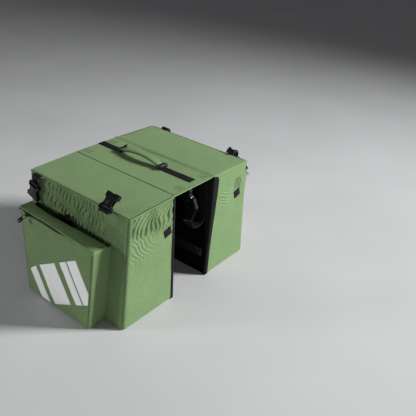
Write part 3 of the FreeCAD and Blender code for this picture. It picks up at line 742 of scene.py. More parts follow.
def make_bridge():
    xs = steps(-HALF_TOP, HALF_TOP, 5)
    ys = sorted({*steps(-SEAM_W, SEAM_W - 9, 4.5), *steps(SEAM_W - 9, SEAM_W - 0.4, 0.9)})
    sheet = grid("bridge_cloth", xs, ys, bridge_point, [GREEN])
    keep(thicken(sheet, LID_THICK, 1.1), "bridge", ["bridge_top"])
    rows = []
    lines = [[bridge_point(x, -SEAM_W + 2.6) for x in steps(-HALF_TOP + 3, HALF_TOP - 3, 8)]]
    for end in (-1, 1):
        lines.append([bridge_point(end * (HALF_TOP - 2.6), y) for y in steps(-SEAM_W + 3, SEAM_W - 6, 8)])
    for line, style in zip(lines, (THICK_STITCHES_AND_SHADOW_LINE, {}, {})):
        rows.append(stitches("row", line, (0, 0, 1), THREAD, **style))
    for end in (-1, 1):
        for y in (-36.0, 47.0):
            x = end * 146.0
            y = y * end
            corners = [(-9, -7), (9, -7), (9, 7), (-9, 7), (-9, -7), (9, 7), (9, -7), (-9, 7)]
            line = [bridge_point(x + a, y + b) + Vector((0, 0, 0.1)) for a, b in corners]
            rows.append(stitches("row", line, (0, 0, 1), THREAD, pitch=3, length=2.2, width=0.55))
    keep(merged("bridge_seams", rows), "bridge", ())


# Pocket


def pocket_x(end, z):
    at = 0 if end == FRONT else 1
    return mix(POCKET_FLOOR_X[at], POCKET_TOP_X[at], z / POCKET_TOP_Z[at])


def pocket_front_w(z):
    return mix(POCKET_FRONT_FLOOR, POCKET_FRONT_TOP, z / POCKET_TOP_Z[0])


def pocket_top_z(x):
    """Height of the pocket's top, which rises a little between its ends."""
    share = clamp((x - POCKET_TOP_X[0]) / (POCKET_TOP_X[1] - POCKET_TOP_X[0]))
    return mix(*POCKET_TOP_Z, share) + 3.2 * sin(pi * share)


def pocket_front_relief(x, z):
    """The pocket's face: a low bulge, and slack below the zip."""
    share_x = (x - pocket_x(FRONT, z)) / (pocket_x(REAR, z) - pocket_x(FRONT, z))
    share_z = z / pocket_top_z(x)
    bulge = 2.2 * sin(pi * clamp(share_x)) ** 0.7 * sin(pi * clamp(share_z)) ** 0.7
    slack = 0.45 * pucker(2 * pi * (x + 5 * rough(x / 30, z / 40, 71)) / 12) * ease(165, 205, z)
    soft = 0.9 * rough(x / 50, z / 60, 72) + 0.35 * rough(x / 16, z / 20, 73)
    return bulge + (slack + soft) * clamp(4 * share_x) * clamp(4 - 4 * share_x)


POCKET_CORNER = 5.0
ZIP_TOP_DROP = 3.4


def sleeve_drop(x):
    """How far below its top the pocket's cloth ends: the zip gapes in its front half."""
    gape = ease(-128, -112, x) * (1 - ease(-5, 40, x))
    return 7.4 + 4.4 * gape


def pocket_stations():
    ends = steps(0, 1, 0.09)
    turns = steps(0, 1, 0.25)[1:]
    stations = [("end", FRONT, t) for t in ends] + [("turn", FRONT, t) for t in turns]
    stations += [("outer", 0, t) for t in steps(0, 1, 0.013)[1:]]
    stations += [("turn", REAR, 1 - t) for t in turns]
    return stations + [("end", REAR, 1 - t) for t in ends[1:]]


def pocket_point(station, share, drop=None, out=0.0):
    """Point of the pocket's cloth wall, share of the way up to drop below its top."""
    stretch, end, t = station
    x_guess = mix(*POCKET_TOP_X, t) if stretch == "outer" else POCKET_TOP_X[0 if end == FRONT else 1]
    top = pocket_top_z(x_guess) - (sleeve_drop(x_guess) if drop is None else drop)
    z = share * top
    tuck = 4.0 - sqrt(max(0.0, 16.0 - max(0.0, 4.0 - z) ** 2))
    x0, x1 = pocket_x(FRONT, z) - out + tuck, pocket_x(REAR, z) + out - tuck
    face = pocket_front_w(z) + out - tuck
    r = POCKET_CORNER
    if stretch == "end":
        w = mix(outer_w(z) + 0.4, face - r, t)
        dent = -1.6 * sin(pi * t) * sin(pi * clamp(z / top)) + 0.8 * rough(w / 25, z / 45, 75 + end)
        x = x1 + dent * min(1, 4 * t) if end == REAR else x0 - dent * min(1, 4 * t)
        return left(x, w, z)
    if stretch == "turn":
        a = t * pi / 2
        corner_x = x1 - r if end == REAR else x0 + r
        return left(corner_x + end * r * cos(a), face - r + r * sin(a), z)
    x = mix(x0 + r, x1 - r, t)
    return left(x, face + pocket_front_relief(x, z) * ease(0, 1, 12 * min(t, 1 - t)), z)


def pocket_back_w(x, z):
    """The pocket's own back, which bows away from the body in the middle of its top."""
    share = (x - POCKET_TOP_X[0]) / (POCKET_TOP_X[1] - POCKET_TOP_X[0])
    bow = 11.0 * sin(pi * clamp(share) ** 0.65) ** 1.2 * ease(60, 215, z)
    return POCKET_BACK_W + 0.3 + bow


def make_pocket():
    rows = sorted({0.0, 0.004, 0.01, 0.018, *steps(0.03, 1.0, 0.024)})
    walls = grid("walls", pocket_stations(), rows, pocket_point, [GREEN, BLACK], foot=True)
    pieces = [thicken(walls, 2.0, 0.6, inner_slot=1)]

    def back_place(share, up):
        foot_z = 25.0
        z = mix(foot_z, 206.0, up)
        x = mix(pocket_x(FRONT, z) + 2.5, pocket_x(REAR, z) - 2.5, share)
        z = mix(foot_z, pocket_top_z(x) - FLAP - 1.0, up)
        return left(x, pocket_back_w(x, z), z)

    back = grid("back", steps(1, 0, 0.03), steps(0, 1, 0.05), back_place, [GREEN, BLACK])
    pieces.append(thicken(back, 1.5, 0.5, inner_slot=1))
    on_both(merged("left_pocket_cloth", pieces), "bag", ["pocket_box"])
    rows = []
    for end in (FRONT, REAR):
        line = [pocket_point(("turn", end, 0.9), share, out=0.3) for share in steps(0.03, 0.98, 0.04)]
        rows.append(stitches("row", line, (end * 0.2, -1, 0), THREAD, pitch=3.4, width=0.5))
    on_both(merged("left_pocket_seams", rows), "bag", ())


FLAP_WIDE = 34.0  # measure across the flap, from its rear edge to its front one
FLAP_LIP_FRONT = 1.0  # straight drop of the flap's cloth below its rounded front edge
FLAP_LIP_SIDE = 6.2
FLAP_ROUNDING = 2.0


def flap_point(along, across):
    """Top of the flap in millimetres from its front end and from its rear edge, which follows the
    pocket's back. Past its edges the cloth turns down over the zip."""
    long = POCKET_TOP_X[1] - POCKET_TOP_X[0]
    x_share = clamp(along / long)
    x = POCKET_TOP_X[0] + long * x_share
    z = pocket_top_z(x)
    rear, front = pocket_back_w(x, z) + 0.4, pocket_front_w(z) - 0.4
    share = clamp(across / FLAP_WIDE)
    w = mix(rear, front, share)
    wave = 1.2 * rough(x / 38, w / 30, 81) + 0.5 * rough(x / 14, w / 12, 82)
    crown = 1.6 * sin(pi * share) * sin(pi * x_share) ** 0.5
    edge = clamp(8 * x_share) * clamp(8 - 8 * x_share)
    side = -1 if along < 0 else 1
    side_out, side_down = over_edge(max(-along, along - long) / FLAP_ROUNDING, FLAP_ROUNDING, FLAP_LIP_SIDE)
    lip = FLAP_LIP_FRONT + 3.4 * ease(0.5, 0.75, x_share) + 0.5 * rough(x / 30, 83)
    out, down = over_edge((across - FLAP_WIDE) / FLAP_ROUNDING, FLAP_ROUNDING, lip)
    top = z + crown + wave * edge * 0.9 - 0.8 * share**6 * edge
    return left(x + side * side_out * 0.9, w + out * 0.9, top - max(down, side_down))


def make_flap():
    long = POCKET_TOP_X[1] - POCKET_TOP_X[0]
    turn = steps(0, FLAP_ROUNDING, 0.5)
    ends = [*turn, 2 * FLAP_ROUNDING]
    alongs = [*[-a for a in ends[::-1]], *steps(3, long - 3, 4), *[long + a for a in ends]]
    across = [*[FLAP_WIDE + a for a in ends[::-1]], *steps(FLAP_WIDE - 2, 0, 2.3)]
    sheet = grid("left_flap_cloth", alongs, across, flap_point, [GREEN, BLACK])
    on_both(thicken(sheet, 1.4, 0.5, inner_slot=1), "pocket_flap", ["pocket_flap"])
    inset = 1.2
    outline = [(inset, a) for a in steps(3, FLAP_WIDE - inset, 5)]
    outline += [(a, FLAP_WIDE - inset) for a in steps(inset, long - inset, 7)]
    outline += [(long - inset, a) for a in steps(FLAP_WIDE - inset, 3, 5)]
    line = [flap_point(a, b) for a, b in outline]
    row = stitches("left_flap_hem", line, (0, 0, 1), THREAD, pitch=3.6, length=2.2, width=0.5)
    on_both(row, "pocket_flap", ())


def make_flap_hinge():
    """Strip of lining from the pocket's back to the flap."""
    low_drop, high_drop = 9.0, 1.2

    def place(share, up):
        x = mix(POCKET_TOP_X[0] + 4, POCKET_TOP_X[1] - 4, share)
        z = pocket_top_z(x)
        return left(x, pocket_back_w(x, z) + 0.9, z - mix(low_drop, high_drop, up))

    for side, turn in (("left", Matrix.Identity(4)), ("right", HALF_TURN)):
        strip = grid(side + "_flap_hinge", steps(1, 0, 0.03), steps(0, 1, 0.125), place, [BLACK])
        strip = thicken(strip, 0.5, 0)
        strip.data.transform(turn)
        middle = place(0.5, 0.5)
        tilt = Vector((POCKET_TOP_Z[0] - POCKET_TOP_Z[1], 0, POCKET_TOP_X[1] - POCKET_TOP_X[0])).normalized()
        ends = [turn @ ((middle + tilt * rise) * MM) for rise in (-3.0, 1.0)]
        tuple(ends[0])
        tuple(ends[1])
        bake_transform(strip)


def zip_line(out, drop):
    """Line round the pocket, drop below its top, without the ends' rear halves."""
    line = []
    for station in pocket_stations():
        point = pocket_point(station, 1.0, drop=drop, out=out)
        if -point.y > 233.0:
            line.append(point)
    return line


def make_zip():
    """Tape with two rows of coil, one tooth after another."""
    stations = [s for s in pocket_stations() if s[0] != "end" or s[2] > 0.45]

    def tape(station, drop):
        return pocket_point(station, 1.0, drop=drop, out=-0.5)

    band = grid("band", stations, steps(13.0, ZIP_TOP_DROP, 1.2), tape, [COIL])
    pieces = [thicken(band, 1.2, 0)]
    up = Vector((0, 0, 1))
    points, faces, cloth = [], [], []
    dense = smooth_line(zip_line(-0.2, 6.2), 1.7)
    for centre, along in zip(dense, directions(dense)):
        side = along.cross(up).normalized()
        start = len(points)
        for a in (-0.42, 0.42):
            for b, c in ((-0.6, -1.5), (0.75, -1.1), (0.75, 1.1), (-0.6, 1.5)):
                points.append(centre + along * a + side * b + up * c)
                cloth.append((points[-1].x, points[-1].z))
        faces += [tuple(start + i for i in face) for face in BOX_FACES]
    pieces.append(mesh_piece("coil", points, faces, cloth, [COIL]))
    on_both(merged("left_zip_band", pieces), "bag", ["zip_tape"])


def make_print():
    """Plain slanted bars printed in a band that rises across the pocket's face."""
    slant = -0.62

    def band_low(x):
        return max(5.0, 62 + 0.50 * (x - 90))

    def band_high(x):
        return min(176.0, 178 + 0.54 * (x - 90))

    pieces = []
    for x_low, wide in ((-48, 34), (-4, 20), (24, 38), (72, 22), (102, 30)):

        def place(across, up, x_low=x_low, wide=wide):
            x = x_low + wide * (across - 0.5)
            z = mix(band_low(x), band_high(x - 50), up)
            x = x + slant * (z - band_low(x))
            x = clamp(x, pocket_x(FRONT, z) + 6, pocket_x(REAR, z) - 6)
            return left(x, pocket_front_w(z) + pocket_front_relief(x, z) + 0.28, z)

        bar = grid("bar", steps(0, 1, 2.2 / wide), steps(0, 1, 0.022), place, [PRINT])
        pieces.append(thicken(bar, 0.25, 0))
    on_both(merged("left_print", pieces), "bag", ())


# Webbing and buckles

SOCKET_LENGTH = 40.0
TAB_HINGE_Z = 281.5
UP_HINGE_W = 212.0
TAB_START_W, TAB_OUT, TAB_DROP, TAB_SKEW = 207.0, 12.5, 19.2, 0.7
LEFT_LEAN, RIGHT_LEAN = 18.0, 55.0
REAR_HUMP, FRONT_HUMP = 12.0, 5.0
# Thick, nearly unbroken pale thread; along the lid tabs' edges it also paints the highlights on the
# webbing's edges.
PALE_THREAD_AND_EDGE_HIGHLIGHT = {"pitch": 2.6, "length": 2.5, "width": 1.4, "height": 0.6}


def at(x, y, z, *turns):
    """Placement: turns about X or Y in degrees, the last one first, then the move."""
    place = Matrix.Translation((x, y, z))
    for angle, axis in turns:
        place = place @ Matrix.Rotation(radians(angle), 4, axis)
    return place


def hanging_at(x, lean, skew=TAB_SKEW):
    """Place of a buckle that hangs from a lid's edge."""
    return at(x - skew * TAB_OUT, -TAB_START_W - TAB_OUT, TAB_HINGE_Z - TAB_DROP, (lean, "Y"), (180, "X"))


UP_BUCKLE = at(REAR_TAB_X, -UP_HINGE_W - 9, TAB_HINGE_Z + 8.2, (-49, "X"))

WALL_LEAN = degrees(atan((OUTER_W_FLOOR - RIM_W) / RIM_Z))
BAG_BUCKLE_X, BAG_BUCKLE_Z = -20.0, 206.0
ON_WALL = at(BAG_BUCKLE_X, -outer_w(BAG_BUCKLE_Z) - 0.02, BAG_BUCKLE_Z, (-WALL_LEAN, "X"), (72.0, "Y"))
BAG_BUCKLE = ON_WALL @ at(0, -5.4, 0, (180, "X"))

NEAR_ANCHOR_Y, FAR_ANCHOR_Y = -4.0, 59.5
RACK_BUCKLE = at(134.0, 0.0, 270.0, (-14.0, "Y"), (194.0, "X"))


def loop_round_bar(place, inner_side):
    """Points of webbing that goes past a buckle's bar, through its slot and back."""
    s = inner_side
    local = [
        (0, -s * 2.7, -4), (0, -s * 2.6, 0.8), (0, -s * 1.6, 4.6), (0, s * 1.6, 4.6), (0, s * 2.6, 0.8),
        (0, s * 2.3, -6.0),
    ]
    return [place @ Vector(p) for p in local]


def make_tab(name, root, place, inner_side=1, twist=(0.15, 0.6), thick=WEBBING_THICK):
    """Tab from the root's points round the buckle's bar and back, with pale threads at its edges that also
    paint the highlights along the webbing's edges.
    """
    line = smooth_line(root + loop_round_bar(place, inner_side), 1.6)
    start, end = Vector((1, 0, 0)), (place.to_3x3() @ Vector((1, 0, 0))).normalized()
    if start.dot(end) < 0:
        end = -end

    def across(share):
        return start.lerp(end, ease(*twist, share)).normalized()

    web = strap("web", line, across, TAPE, thick=thick)
    rows = []
    ahead = directions(line)
    shown = int(len(line) * 0.82)
    # Pale threads along both edges, which also paint the highlights on the webbing's edges.
    for side in (-1, 1):
        for face in (-1, 1):
            edge = []
            for i in range(shown):
                side_way = across(i / (len(line) - 1))
                up = side_way.cross(ahead[i]).normalized()
                edge.append((line[i] + side_way * side * 11.6 + up * face * thick * 0.45, up * face))
            for k in range(0, len(edge) - 1, 3):
                piece = edge[k : k + 4]
                if len(piece) > 1:
                    points = [point for point, _ in piece]
                    rows.append(stitches("row", points, piece[0][1], PALE_THREAD, **PALE_THREAD_AND_EDGE_HIGHLIGHT))
    return merged(name, [web, *rows])


def tab_line(hump, x, skew=TAB_SKEW):
    """Centre line of a lid tab, over its hump and down towards the buckle's bar."""
    points = [(0, 0), (3.2, hump * 0.7), (7, hump), (11, hump * 0.6 - 3)]
    return [Vector((x - skew * out, -TAB_START_W - out, TAB_HINGE_Z + up)) for out, up in points]


def bend_at(web, side, end, crest):
    """Fixes the tab's mesh in place and hides the CAD tab that it stands for."""
    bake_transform(web)
    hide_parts(f"{side}_{end}_tab")


def make_lid_tabs():
    root = tab_line(0.2, FRONT_TAB_X)
    web = make_tab("left_front_tab_web", root, hanging_at(FRONT_TAB_X, LEFT_LEAN), twist=(0.1, 0.5))
    bend_at(web, "left", "front", Vector((FRONT_TAB_X, -TAB_START_W - 1.6, TAB_HINGE_Z)))

    y, z = -TAB_START_W, TAB_HINGE_Z
    root = [Vector((REAR_TAB_X, y - a, z + b)) for a, b in ((0, 0), (6, -0.6), (11, -0.3), (14.6, 2.4))]
    web = make_tab("left_rear_tab_web", root, UP_BUCKLE, -1)
    bend_at(web, "left", "rear", Vector((REAR_TAB_X, -UP_HINGE_W, TAB_HINGE_Z)))

    for name, x, hump, lean, skew in (
        ("right_rear", SKEWED_TAB_X, REAR_HUMP, RIGHT_LEAN, TAB_SKEW),
        ("right_front", -FRONT_TAB_X, FRONT_HUMP, 0.0, 0.0),
    ):
        root = tab_line(hump, x, skew)
        web = make_tab(name + "_tab_web", root, hanging_at(x, lean, skew), twist=(0.2, 0.6))
        web.data.transform(HALF_TURN)
        bend_at(web, *name.split("_"), HALF_TURN @ root[2])
        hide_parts(name + "_link")


def make_bag_tab():
    """Webbing sewn to the outer wall, through the bar of the buckle that lies behind the pocket."""
    root = [ON_WALL @ Vector(p) for p in ((0, -0.7, 21), (0, -1.2, 14), (0, -1.3, 8.5), (0, -2.4, 5.6))]
    line = smooth_line(root + loop_round_bar(BAG_BUCKLE, 1), 1.6)
    side = (ON_WALL.to_3x3() @ Vector((1, 0, 0))).normalized()
    web = strap("web", line, lambda share: side, TAPE, thick=2.4)
    out = ON_WALL.to_3x3() @ Vector((0, -1, 0))
    rows = []
    for z in (10.0, 18.5):
        row = [ON_WALL @ Vector((x, -2.5, z)) for x in steps(-11.5, 11.5, 4)]
        rows.append(stitches("row", row, out, PALE_THREAD, **PALE_THREAD_AND_EDGE_HIGHLIGHT))
    on_both(merged("left_bag_tab_web", [web, *rows]), "bag", ["bag_tab"])


def put_at(piece, place):
    """Moves a piece's mesh from the origin to a placement in millimetres."""
    piece.data.transform(Matrix.LocRotScale(place.to_translation() * MM, place.to_quaternion(), None))
    return piece


def rounded_block(name, size, place, material, rounding=0.5):
    """Block about the placement's origin, with rounded edges."""
    x, y, z = (v / 2 for v in size)
    corners = [Vector((a, b, c)) for c in (-z, z) for a, b in ((-x, -y), (x, -y), (x, y), (-x, y))]
    block = mesh_piece(name, corners, BOX_FACES, [(c.x, c.z) for c in corners], [material])
    bevel = block.modifiers.new("edge", "BEVEL")
    bevel.width = rounding * MM
    bevel.segments = 3
    return put_at(applied(block), place)


def socket_details(name, place):
    """Grip ribs on a buckle's waist and a raised pad on each face near its mouth."""
    pieces = []
    for face in (-1, 1):
        for z in (15.0, 18.0, 21.0):
            spot = place @ at(0, face * 4.7, z)
            pieces.append(rounded_block("rib", (12, 0.8, 1.2), spot, PLASTIC, 0.3))
        spot = place @ at(0, face * 4.65, 31.0)
        pieces.append(rounded_block("pad", (18, 0.8, 5.5), spot, PLASTIC, 0.35))
    return merged(name, pieces)


def plug_details(name, place):
    """Raised rims on the plug's base, beside its slots."""
    pieces = []
    for face in (-1, 1):
        for side in (-1, 1):
            spot = place @ at(side * 15.0, face * 3.7, SOCKET_LENGTH + 9)
            pieces.append(rounded_block("cheek", (2.6, 1.6, 14.0), spot, PLASTIC, 0.5))
        spot = place @ at(0, face * 3.7, SOCKET_LENGTH + 2.2)
        pieces.append(rounded_block("lip", (27, 1.4, 2.0), spot, PLASTIC, 0.4))
    return merged(name, pieces)


def make_buckle_details():
    """Mouldings on the buckles, which CAD leaves plain."""
    sockets = [
        ("left_front", hanging_at(FRONT_TAB_X, LEFT_LEAN), "left_front_buckle_tab", False),
        ("left_rear", UP_BUCKLE, "left_rear_buckle_tab", False),
        ("right_rear", hanging_at(SKEWED_TAB_X, RIGHT_LEAN), "right_rear_buckle_tab", True),
        ("right_front", hanging_at(-FRONT_TAB_X, 0.0, 0.0), "right_front_buckle_tab", True),
        ("left_bag", BAG_BUCKLE, "left_bag_buckle", False),
        ("right_bag", BAG_BUCKLE, "right_bag_buckle", True),
        ("rear_rack", RACK_BUCKLE, "bridge", False),
        ("front_rack", RACK_BUCKLE, "bridge", True),
    ]
    for name, place, body, turned in sockets:
        piece = socket_details(name + "_socket_mouldings", place)
        if turned:
            piece.data.transform(HALF_TURN)
        keep(piece, body, ())
    for end, turned in (("rear", False), ("front", True)):
        piece = plug_details(end + "_plug_mouldings", RACK_BUCKLE)
        if turned:
            piece.data.transform(HALF_TURN)
        keep(piece, end + "_plug", ())


def rack_point(distance, off=0.0):
    """Point along the rack buckle from its bar, and off it towards the middle of the tunnel."""
    return RACK_BUCKLE @ Vector((0, -off, distance))


def make_rack_straps():
    """Loop from the plug round under the rail to the far anchor, and the tail past the plug."""
    loop_low, loop_high = span("rear_rack_loop")
    x_far = (loop_low.x + loop_high.x) / 2
    x_near = RACK_BUCKLE.to_translation().x
    top = span("strap_anchors")[0].z
    low = loop_low.z + WEBBING_THICK / 2
    end_of_plug = SOCKET_LENGTH + 17.0
    start = rack_point(end_of_plug - 6, 4.6)
    leaves = rack_point(end_of_plug + 4, 3.9)
    path = [(leaves.y - 3, leaves.z - 12), (8, low + 30), (10, low + 14), (20, low + 3), (35, low)]
    path += [(49, low + 4), (57, low + 14)]
    path += [(FAR_ANCHOR_Y, low + 30), (FAR_ANCHOR_Y, low + 75), (FAR_ANCHOR_Y, top)]
    points = [start, leaves]
    for i, (y, z) in enumerate(path):
        points.append(Vector((mix(x_far, leaves.x, max(0.0, 0.7 - 0.3 * i)), y, z)))
    bar_way = (RACK_BUCKLE.to_3x3() @ Vector((1, 0, 0))).normalized()
    straight = Vector((1, 0, 0))

    def loop_across(share):
        return bar_way.lerp(straight, ease(0.05, 0.3, share))

    near = [Vector((x_near, NEAR_ANCHOR_Y, top)), Vector((x_near, NEAR_ANCHOR_Y + 0.5, top - 4))]
    near += [rack_point(d, off) for d, off in ((-3, -1), (1.7, -2.6), (5.4, 0), (1.7, 2.6), (-4, 1.8))]
    round_bar = ((51, 4.4), (47.5, 3.4), (45.6, 0), (47, -3.2), (49, -4.6))
    along_plug = ((52, -3.0), (54, -4.0), (56, -4.6), (59, -4.4))
    tail = [rack_point(d, off) for d, off in round_bar + along_plug]
    leaves_plug = rack_point(end_of_plug, -2.9)
    tail += [leaves_plug + Vector(fall) for fall in ((0, -5, -10), (0, -9.5, -20), (0.5, -14, -29.5))]
    hem = [leaves_plug + Vector((0.3, -14.4, -27)) + bar_way * a for a in steps(-11, 11, 4)]
    for end, turn in (("rear", Matrix.Identity(4)), ("front", HALF_TURN)):
        loop = strap(end + "_rack_loop_web", smooth_line(points, 3), loop_across, TAPE)
        tab = strap(end + "_rack_tab_web", smooth_line(near, 1.6), lambda share: bar_way, TAPE)
        tail_web = strap("web", smooth_line(tail, 1.6), lambda share: bar_way, TAPE)
        row = stitches("row", hem, (0, -1, 0), PALE_THREAD, **PALE_THREAD_AND_EDGE_HIGHLIGHT)
        tail_web = merged(end + "_rack_tail_web", [tail_web, row])
        for piece in (loop, tab, tail_web):
            piece.data.transform(turn)
        keep(tab, "bridge", [end + "_rack_tab"])
        keep(tail_web, end + "_plug", [end + "_rack_tail"])
        a, b = turn @ (Vector((x_far, 30, low)) * MM), turn @ (leaves * MM)
        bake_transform(loop)
        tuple(a)
        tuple(b)
        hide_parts(end + "_rack_loop")


def ring(name, line, radius, material):
    """Round wire along a closed line of points."""
    count, sides = len(line), 8
    points, cloth, faces = [], [], []
    for i, centre in enumerate(line):
        ahead = (line[(i + 1) % count] - line[i - 1]).normalized()
        side = ahead.cross(Vector((0, 1, 0))).normalized()
        up = side.cross(ahead)
        for k in range(sides):
            a = 2 * pi * k / sides
            points.append(centre + side * radius * cos(a) + up * radius * sin(a))
            cloth.append((points[-1].x, points[-1].z))
    for i in range(count):
        for k in range(sides):
            j, after = (i + 1) % count, (k + 1) % sides
            faces.append((i * sides + k, j * sides + k, j * sides + after, i * sides + after))
    return mesh_piece(name, points, faces, cloth, [material])


def make_zip_pull():
    """Wire loop in the slider's crown and a ribbed moulded grip, hanging askew."""
    low, high = span("left_zip_slider")
    crown = Vector(((low.x + high.x) / 2, low.y + 1.7, (low.z + high.z) / 2))
    hang = at(*crown, (-45, "X"), (28, "Y"))
    corners = [(-3.6, 0), (3.6, 0), (4.2, -1.6), (4.2, -10)]
    corners += [(3.4, -11.4), (-3.4, -11.4), (-4.2, -10), (-4.2, -1.6)]
    loop = []
    for (x0, z0), (x1, z1) in zip(corners, corners[1:] + corners[:1]):
        loop += [Vector((mix(x0, x1, t), 0, mix(z0, z1, t))) for t in (0, 0.25, 0.5, 0.75)]
    pieces = [put_at(ring("wire", loop, 0.85, METAL), hang)]
    pieces.append(rounded_block("grip", (9.5, 4.6, 13), hang @ at(0, 0, -17), METAL, 1.5))
    for z in (-13.5, -16.2, -18.9, -21.6):
        pieces.append(rounded_block("rib", (8.6, 5.6, 1.2), hang @ at(0, 0, z), METAL, 0.5))
    on_both(merged("left_zip_pull_grip", pieces), "pull", ["zip_pull"])


def make_low_strap():
    low, high = span("left_low_strap")
    z = (low.z + high.z) / 2
    line = []
    for x in steps(low.x, high.x, 4):
        slack = 0.5 * (1 + sin(x / 21)) * ease(low.x, low.x + 12, x) * ease(-high.x, -high.x + 12, -x)
        line.append(left(x, inner_w(z) - 1.2 - slack, z + 0.6 * sin(x / 37)))
    web = strap("web", line, lambda share: (0, -0.03, 1), TAPE)
    rows = []
    for end, x in ((-1, low.x), (1, high.x)):
        inside = x - end * 3
        far = x - end * 17
        box_line = [(inside, -9), (far, -9), (far, 9), (inside, 9), (inside, -9), (far, 9)]
        line = [left(a, inner_w(z + b) - 2.2, z + b) for a, b in box_line]
        rows.append(stitches("row", line, (0, 1, 0), PALE_THREAD, pitch=3, length=2, width=0.45))
    on_both(merged("left_low_strap_web", [web, *rows]), "bag", ["low_strap"])


# Carry handle


def make_carry_strap():
    """The webbing's two visible stretches, from the bridge's ends to the handle's keepers."""
    low, high = span("carry_webbing")
    near, far = span("handle_keepers")
    y, width = (low.y + high.y) / 2, high.y - low.y
    pieces = []
    for x0, x1 in ((low.x, near.x + 6), (far.x - 6, high.x)):
        line = [bridge_point(x, y) + Vector((0, 0, 1.0 + 0.2 * sin(x / 17))) for x in steps(x0, x1, 5)]
        pieces.append(strap("web", line, level, TAPE, width=width))
        for side in (-1, 1):
            edge = [p + Vector((0, side * 0.39 * width, 0.9)) for p in line]
            pieces.append(stitches("row", edge, (0, 0, 1), THREAD, pitch=3.2, width=0.5))
    keep(merged("carry_strap_web", pieces), "bridge", ["carry_webbing"])


HANDLE_Y, HANDLE_END_Z = 12.0, 297.0


def handle_line(drop):
    """Line along the arched handle, drop below its top."""
    low, high = span("handle_grip")
    top = high.z - drop
    end = HANDLE_END_Z - drop
    line = []
    for x in steps(low.x, high.x, 3):
        share = (x - low.x) / (high.x - low.x)
        line.append(Vector((x, HANDLE_Y + 0.5 * sin(pi * share), mix(end, top, 1 - (2 * share - 1) ** 2))))
    return line


def make_handle():
    """Padded green sleeve over arched webbing, sewn along both edges."""
    low, high = span("handle_grip")
    half = (high.y - low.y) / 2
    line = handle_line(2.0)
    ahead = directions(line)
    section = []
    for k in range(20):
        a = 2 * pi * k / 20
        c, s = cos(a), sin(a)
        section.append((abs(c) ** 0.5 * (1 if c > 0 else -1), abs(s) ** 0.8 * (1 if s > 0 else -1)))
    points, cloth, faces = [], [], []
    for i, centre in enumerate(line):
        share = i / (len(line) - 1)
        full = ease(0, 0.07, share) * ease(0, 0.07, 1 - share)
        half_wide = mix(half - 1.5, half, full) + 0.15 * sin(i * 1.9)
        half_thick = mix(1.5, 2.35, full) + 0.08 * sin(i * 2.3)
        up = Vector((0, 1, 0)).cross(ahead[i]) * -1
        for k, (a, b) in enumerate(section):
            points.append(centre + Vector((0, 1, 0)) * a * half_wide + up * b * half_thick)
            cloth.append((a * 12, centre.x))
    wide = len(section)
    for i in range(len(line) - 1):
        for k in range(wide):
            after = (k + 1) % wide
            faces.append((i * wide + k, (i + 1) * wide + k, (i + 1) * wide + after, i * wide + after))
    faces += [tuple(range(wide)), tuple(range(len(line) * wide - 1, (len(line) - 1) * wide - 1, -1))]
    grip = mesh_piece("handle_sleeve", points, faces, cloth, [GREEN])
    keep(grip, "carry_handle", ["handle_grip"])
    rows = []
    for side in (-1, 1):
        edge = [p + Vector((0, side * (half - 2.6), 2.0)) for p in line[1:-1]]
        rows.append(stitches("row", edge, (0, side * 0.3, 1), THREAD, pitch=3.4, width=0.6))
    keep(merged("handle_seams", rows), "carry_handle", ())
    under = strap("handle_web", handle_line(4.9), level, TAPE, width=2 * half - 2, thick=1.5)
    keep(under, "carry_handle", ["handle_webbing"])


def make_keepers():
    """Moulded keepers with a slot across them, and spare webbing that stands up at the low-x one."""
    low, high = span("handle_keepers")
    length = 12.0
    y0, y1, z0, z1 = low.y, high.y, low.z, high.z
    pieces = []
    for x0 in (low.x, high.x - length):

        def place(around, across, x0=x0):
            a = 2 * pi * around
            bulge = 1 - 0.10 * (2 * across - 1) ** 4
            c, s = cos(a), sin(a)
            x = x0 + length / 2 + length / 2 * bulge * abs(c) ** 0.35 * (1 if c > 0 else -1)
            z = (z0 + z1) / 2 + (z1 - z0) / 2 * bulge * abs(s) ** 0.35 * (1 if s > 0 else -1)
            groove = 0.7 * exp(-(((x - x0 - length / 2) / 1.4) ** 2)) * (s > 0.3)
            return Vector((x, mix(y0, y1, across), z - groove))

        shares = steps(1, 0, 1 / 36)
        tube = grid("keeper", shares, steps(0, 1, 0.06), place, [COIL])
        verts = [v.co / MM for v in tube.data.vertices]
        faces = [tuple(f.vertices) for f in tube.data.polygons]
        faces.append(tuple(range(len(shares) - 2, -1, -1)))
        faces.append(tuple(range(len(verts) - len(shares), len(verts) - 1)))
        cloth = [(v.x, v.y) for v in verts]
        bpy.data.objects.remove(tube)
        pieces.append(mesh_piece("keeper", verts, faces, cloth, [COIL]))
    keep(merged("keeper_mouldings", pieces), "bridge", ["handle_keepers"])
    x, y = low.x + length - 2.5, HANDLE_Y + 6
    tail = [Vector((x + out, y, z1 + up)) for out, up in ((0, -3), (0.3, 1), (1.5, 4.5), (3.5, 7.5))]
    web = strap("keeper_tail", smooth_line(tail, 1.5), level, TAPE, width=10, thick=1.2)
    keep(web, "bridge", ())


# CAD pieces that stay as they are


def paint_cad():
    """Materials of the CAD nodes that no piece stands for, by their names without side or end."""
    paints = {"bridge_board": BOARD, "floor_board": BOARD, "bridge_lining": BLACK_CAD}
    paints |= {"lid_lining": BLACK_CAD, "strap_anchors": TAPE_CAD, "zip_slider": METAL}
    buckles = ("low_buckle", "front_buckle", "rear_buckle", "bag_buckle", "rack_socket", "rack_plug")
    paints |= {name: PLASTIC for name in buckles}
    for name, piece in frame["nodes"].items():
        if piece.hide_render:
            continue
        short = name.removeprefix("left_").removeprefix("right_")
        short = short.replace("rear_rack", "rack").replace("front_rack", "rack")
        piece.data.materials.clear()
        piece.data.materials.append(paints[short])


# Studio


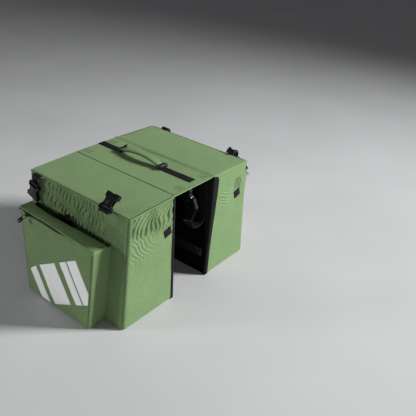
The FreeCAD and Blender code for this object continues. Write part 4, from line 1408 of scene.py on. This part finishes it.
def make_studio():
    """Light floor, a dim world and four lamps: (name, place, size, power, spread in degrees)."""
    floor = bpy.data.meshes.new("floor")
    size = 6.0
    corners = [(a * size, b * size, 0) for a, b in ((-1, -1), (1, -1), (1, 1), (-1, 1))]
    floor.from_pydata(corners, [], [(0, 1, 2, 3)])
    nodes = Nodes("floor_paper")
    shade = nodes.noise(nodes.place(False), 400.0, 2.0)
    nodes.link(nodes.ramp(shade, [(0.3, (0.50, 0.505, 0.51)), (0.7, (0.54, 0.545, 0.55))]), "Base Color")
    nodes.fix(Roughness=0.9)
    floor.materials.append(nodes.material)
    linked("floor", floor)
    world = bpy.data.worlds.new("studio")
    bpy.context.scene.world = world
    world.use_nodes = True
    sky = world.node_tree.nodes["Background"].inputs
    sky["Color"].default_value = (0.96, 0.97, 1.0, 1)
    sky["Strength"].default_value = 0.09
    bpy.context.scene.view_settings.view_transform = "Standard"
    target = Vector((0, 0, 0.15))
    for name, where, size, power, spread in (
        ("key", (3.2, 2.6, 2.5), 0.9, 51.0, 70),
        ("fill", (-1.5, -1.9, 0.8), 0.5, 21.0, 180),
        ("kicker", (1.7, -1.2, 0.5), 0.3, 1.8, 120),
        ("rim", (-0.6, 1.5, 1.3), 1.0, 2.0, 180),
    ):
        lamp = bpy.data.lights.new(name, "AREA")
        lamp.size = size
        lamp.energy = power
        lamp.spread = radians(spread)
        light = linked(name, lamp)
        light.location = where
        light.rotation_euler = (target - Vector(where)).to_track_quat("-Z", "Y").to_euler()


# Where the photo was taken from, which way it looks and which way is right in it, in metres
CAMERA_AT = (0.8574, -0.8741, 0.8617)
CAMERA_AHEAD = (-0.5208, 0.6973, -0.4926)
CAMERA_RIGHT = (0.7791, 0.6241, 0.0597)
CAMERA_LENS = 47.77


def make_camera():
    camera = bpy.data.cameras.new("camera")
    camera.sensor_width = 36.0
    camera.lens = CAMERA_LENS
    camera.clip_end = 50
    viewer = linked("camera", camera)
    ahead = Vector(CAMERA_AHEAD).normalized()
    right = Vector(CAMERA_RIGHT)
    right = (right - ahead * right.dot(ahead)).normalized()
    up = right.cross(ahead)
    turn = Matrix((right, up, -ahead)).transposed().to_4x4()
    viewer.matrix_world = Matrix.Translation(CAMERA_AT) @ turn
    bpy.context.scene.camera = viewer


make_camera()
make_studio()
make_body()
make_back_panel()
make_binding()
make_corner_seams()
make_patches()
make_lid()
make_bridge()
make_pocket()
make_flap()
make_flap_hinge()
make_zip()
make_zip_pull()
make_print()
make_lid_tabs()
make_bag_tab()
make_rack_straps()
make_buckle_details()
make_low_strap()
make_carry_strap()
make_handle()
make_keepers()
paint_cad()
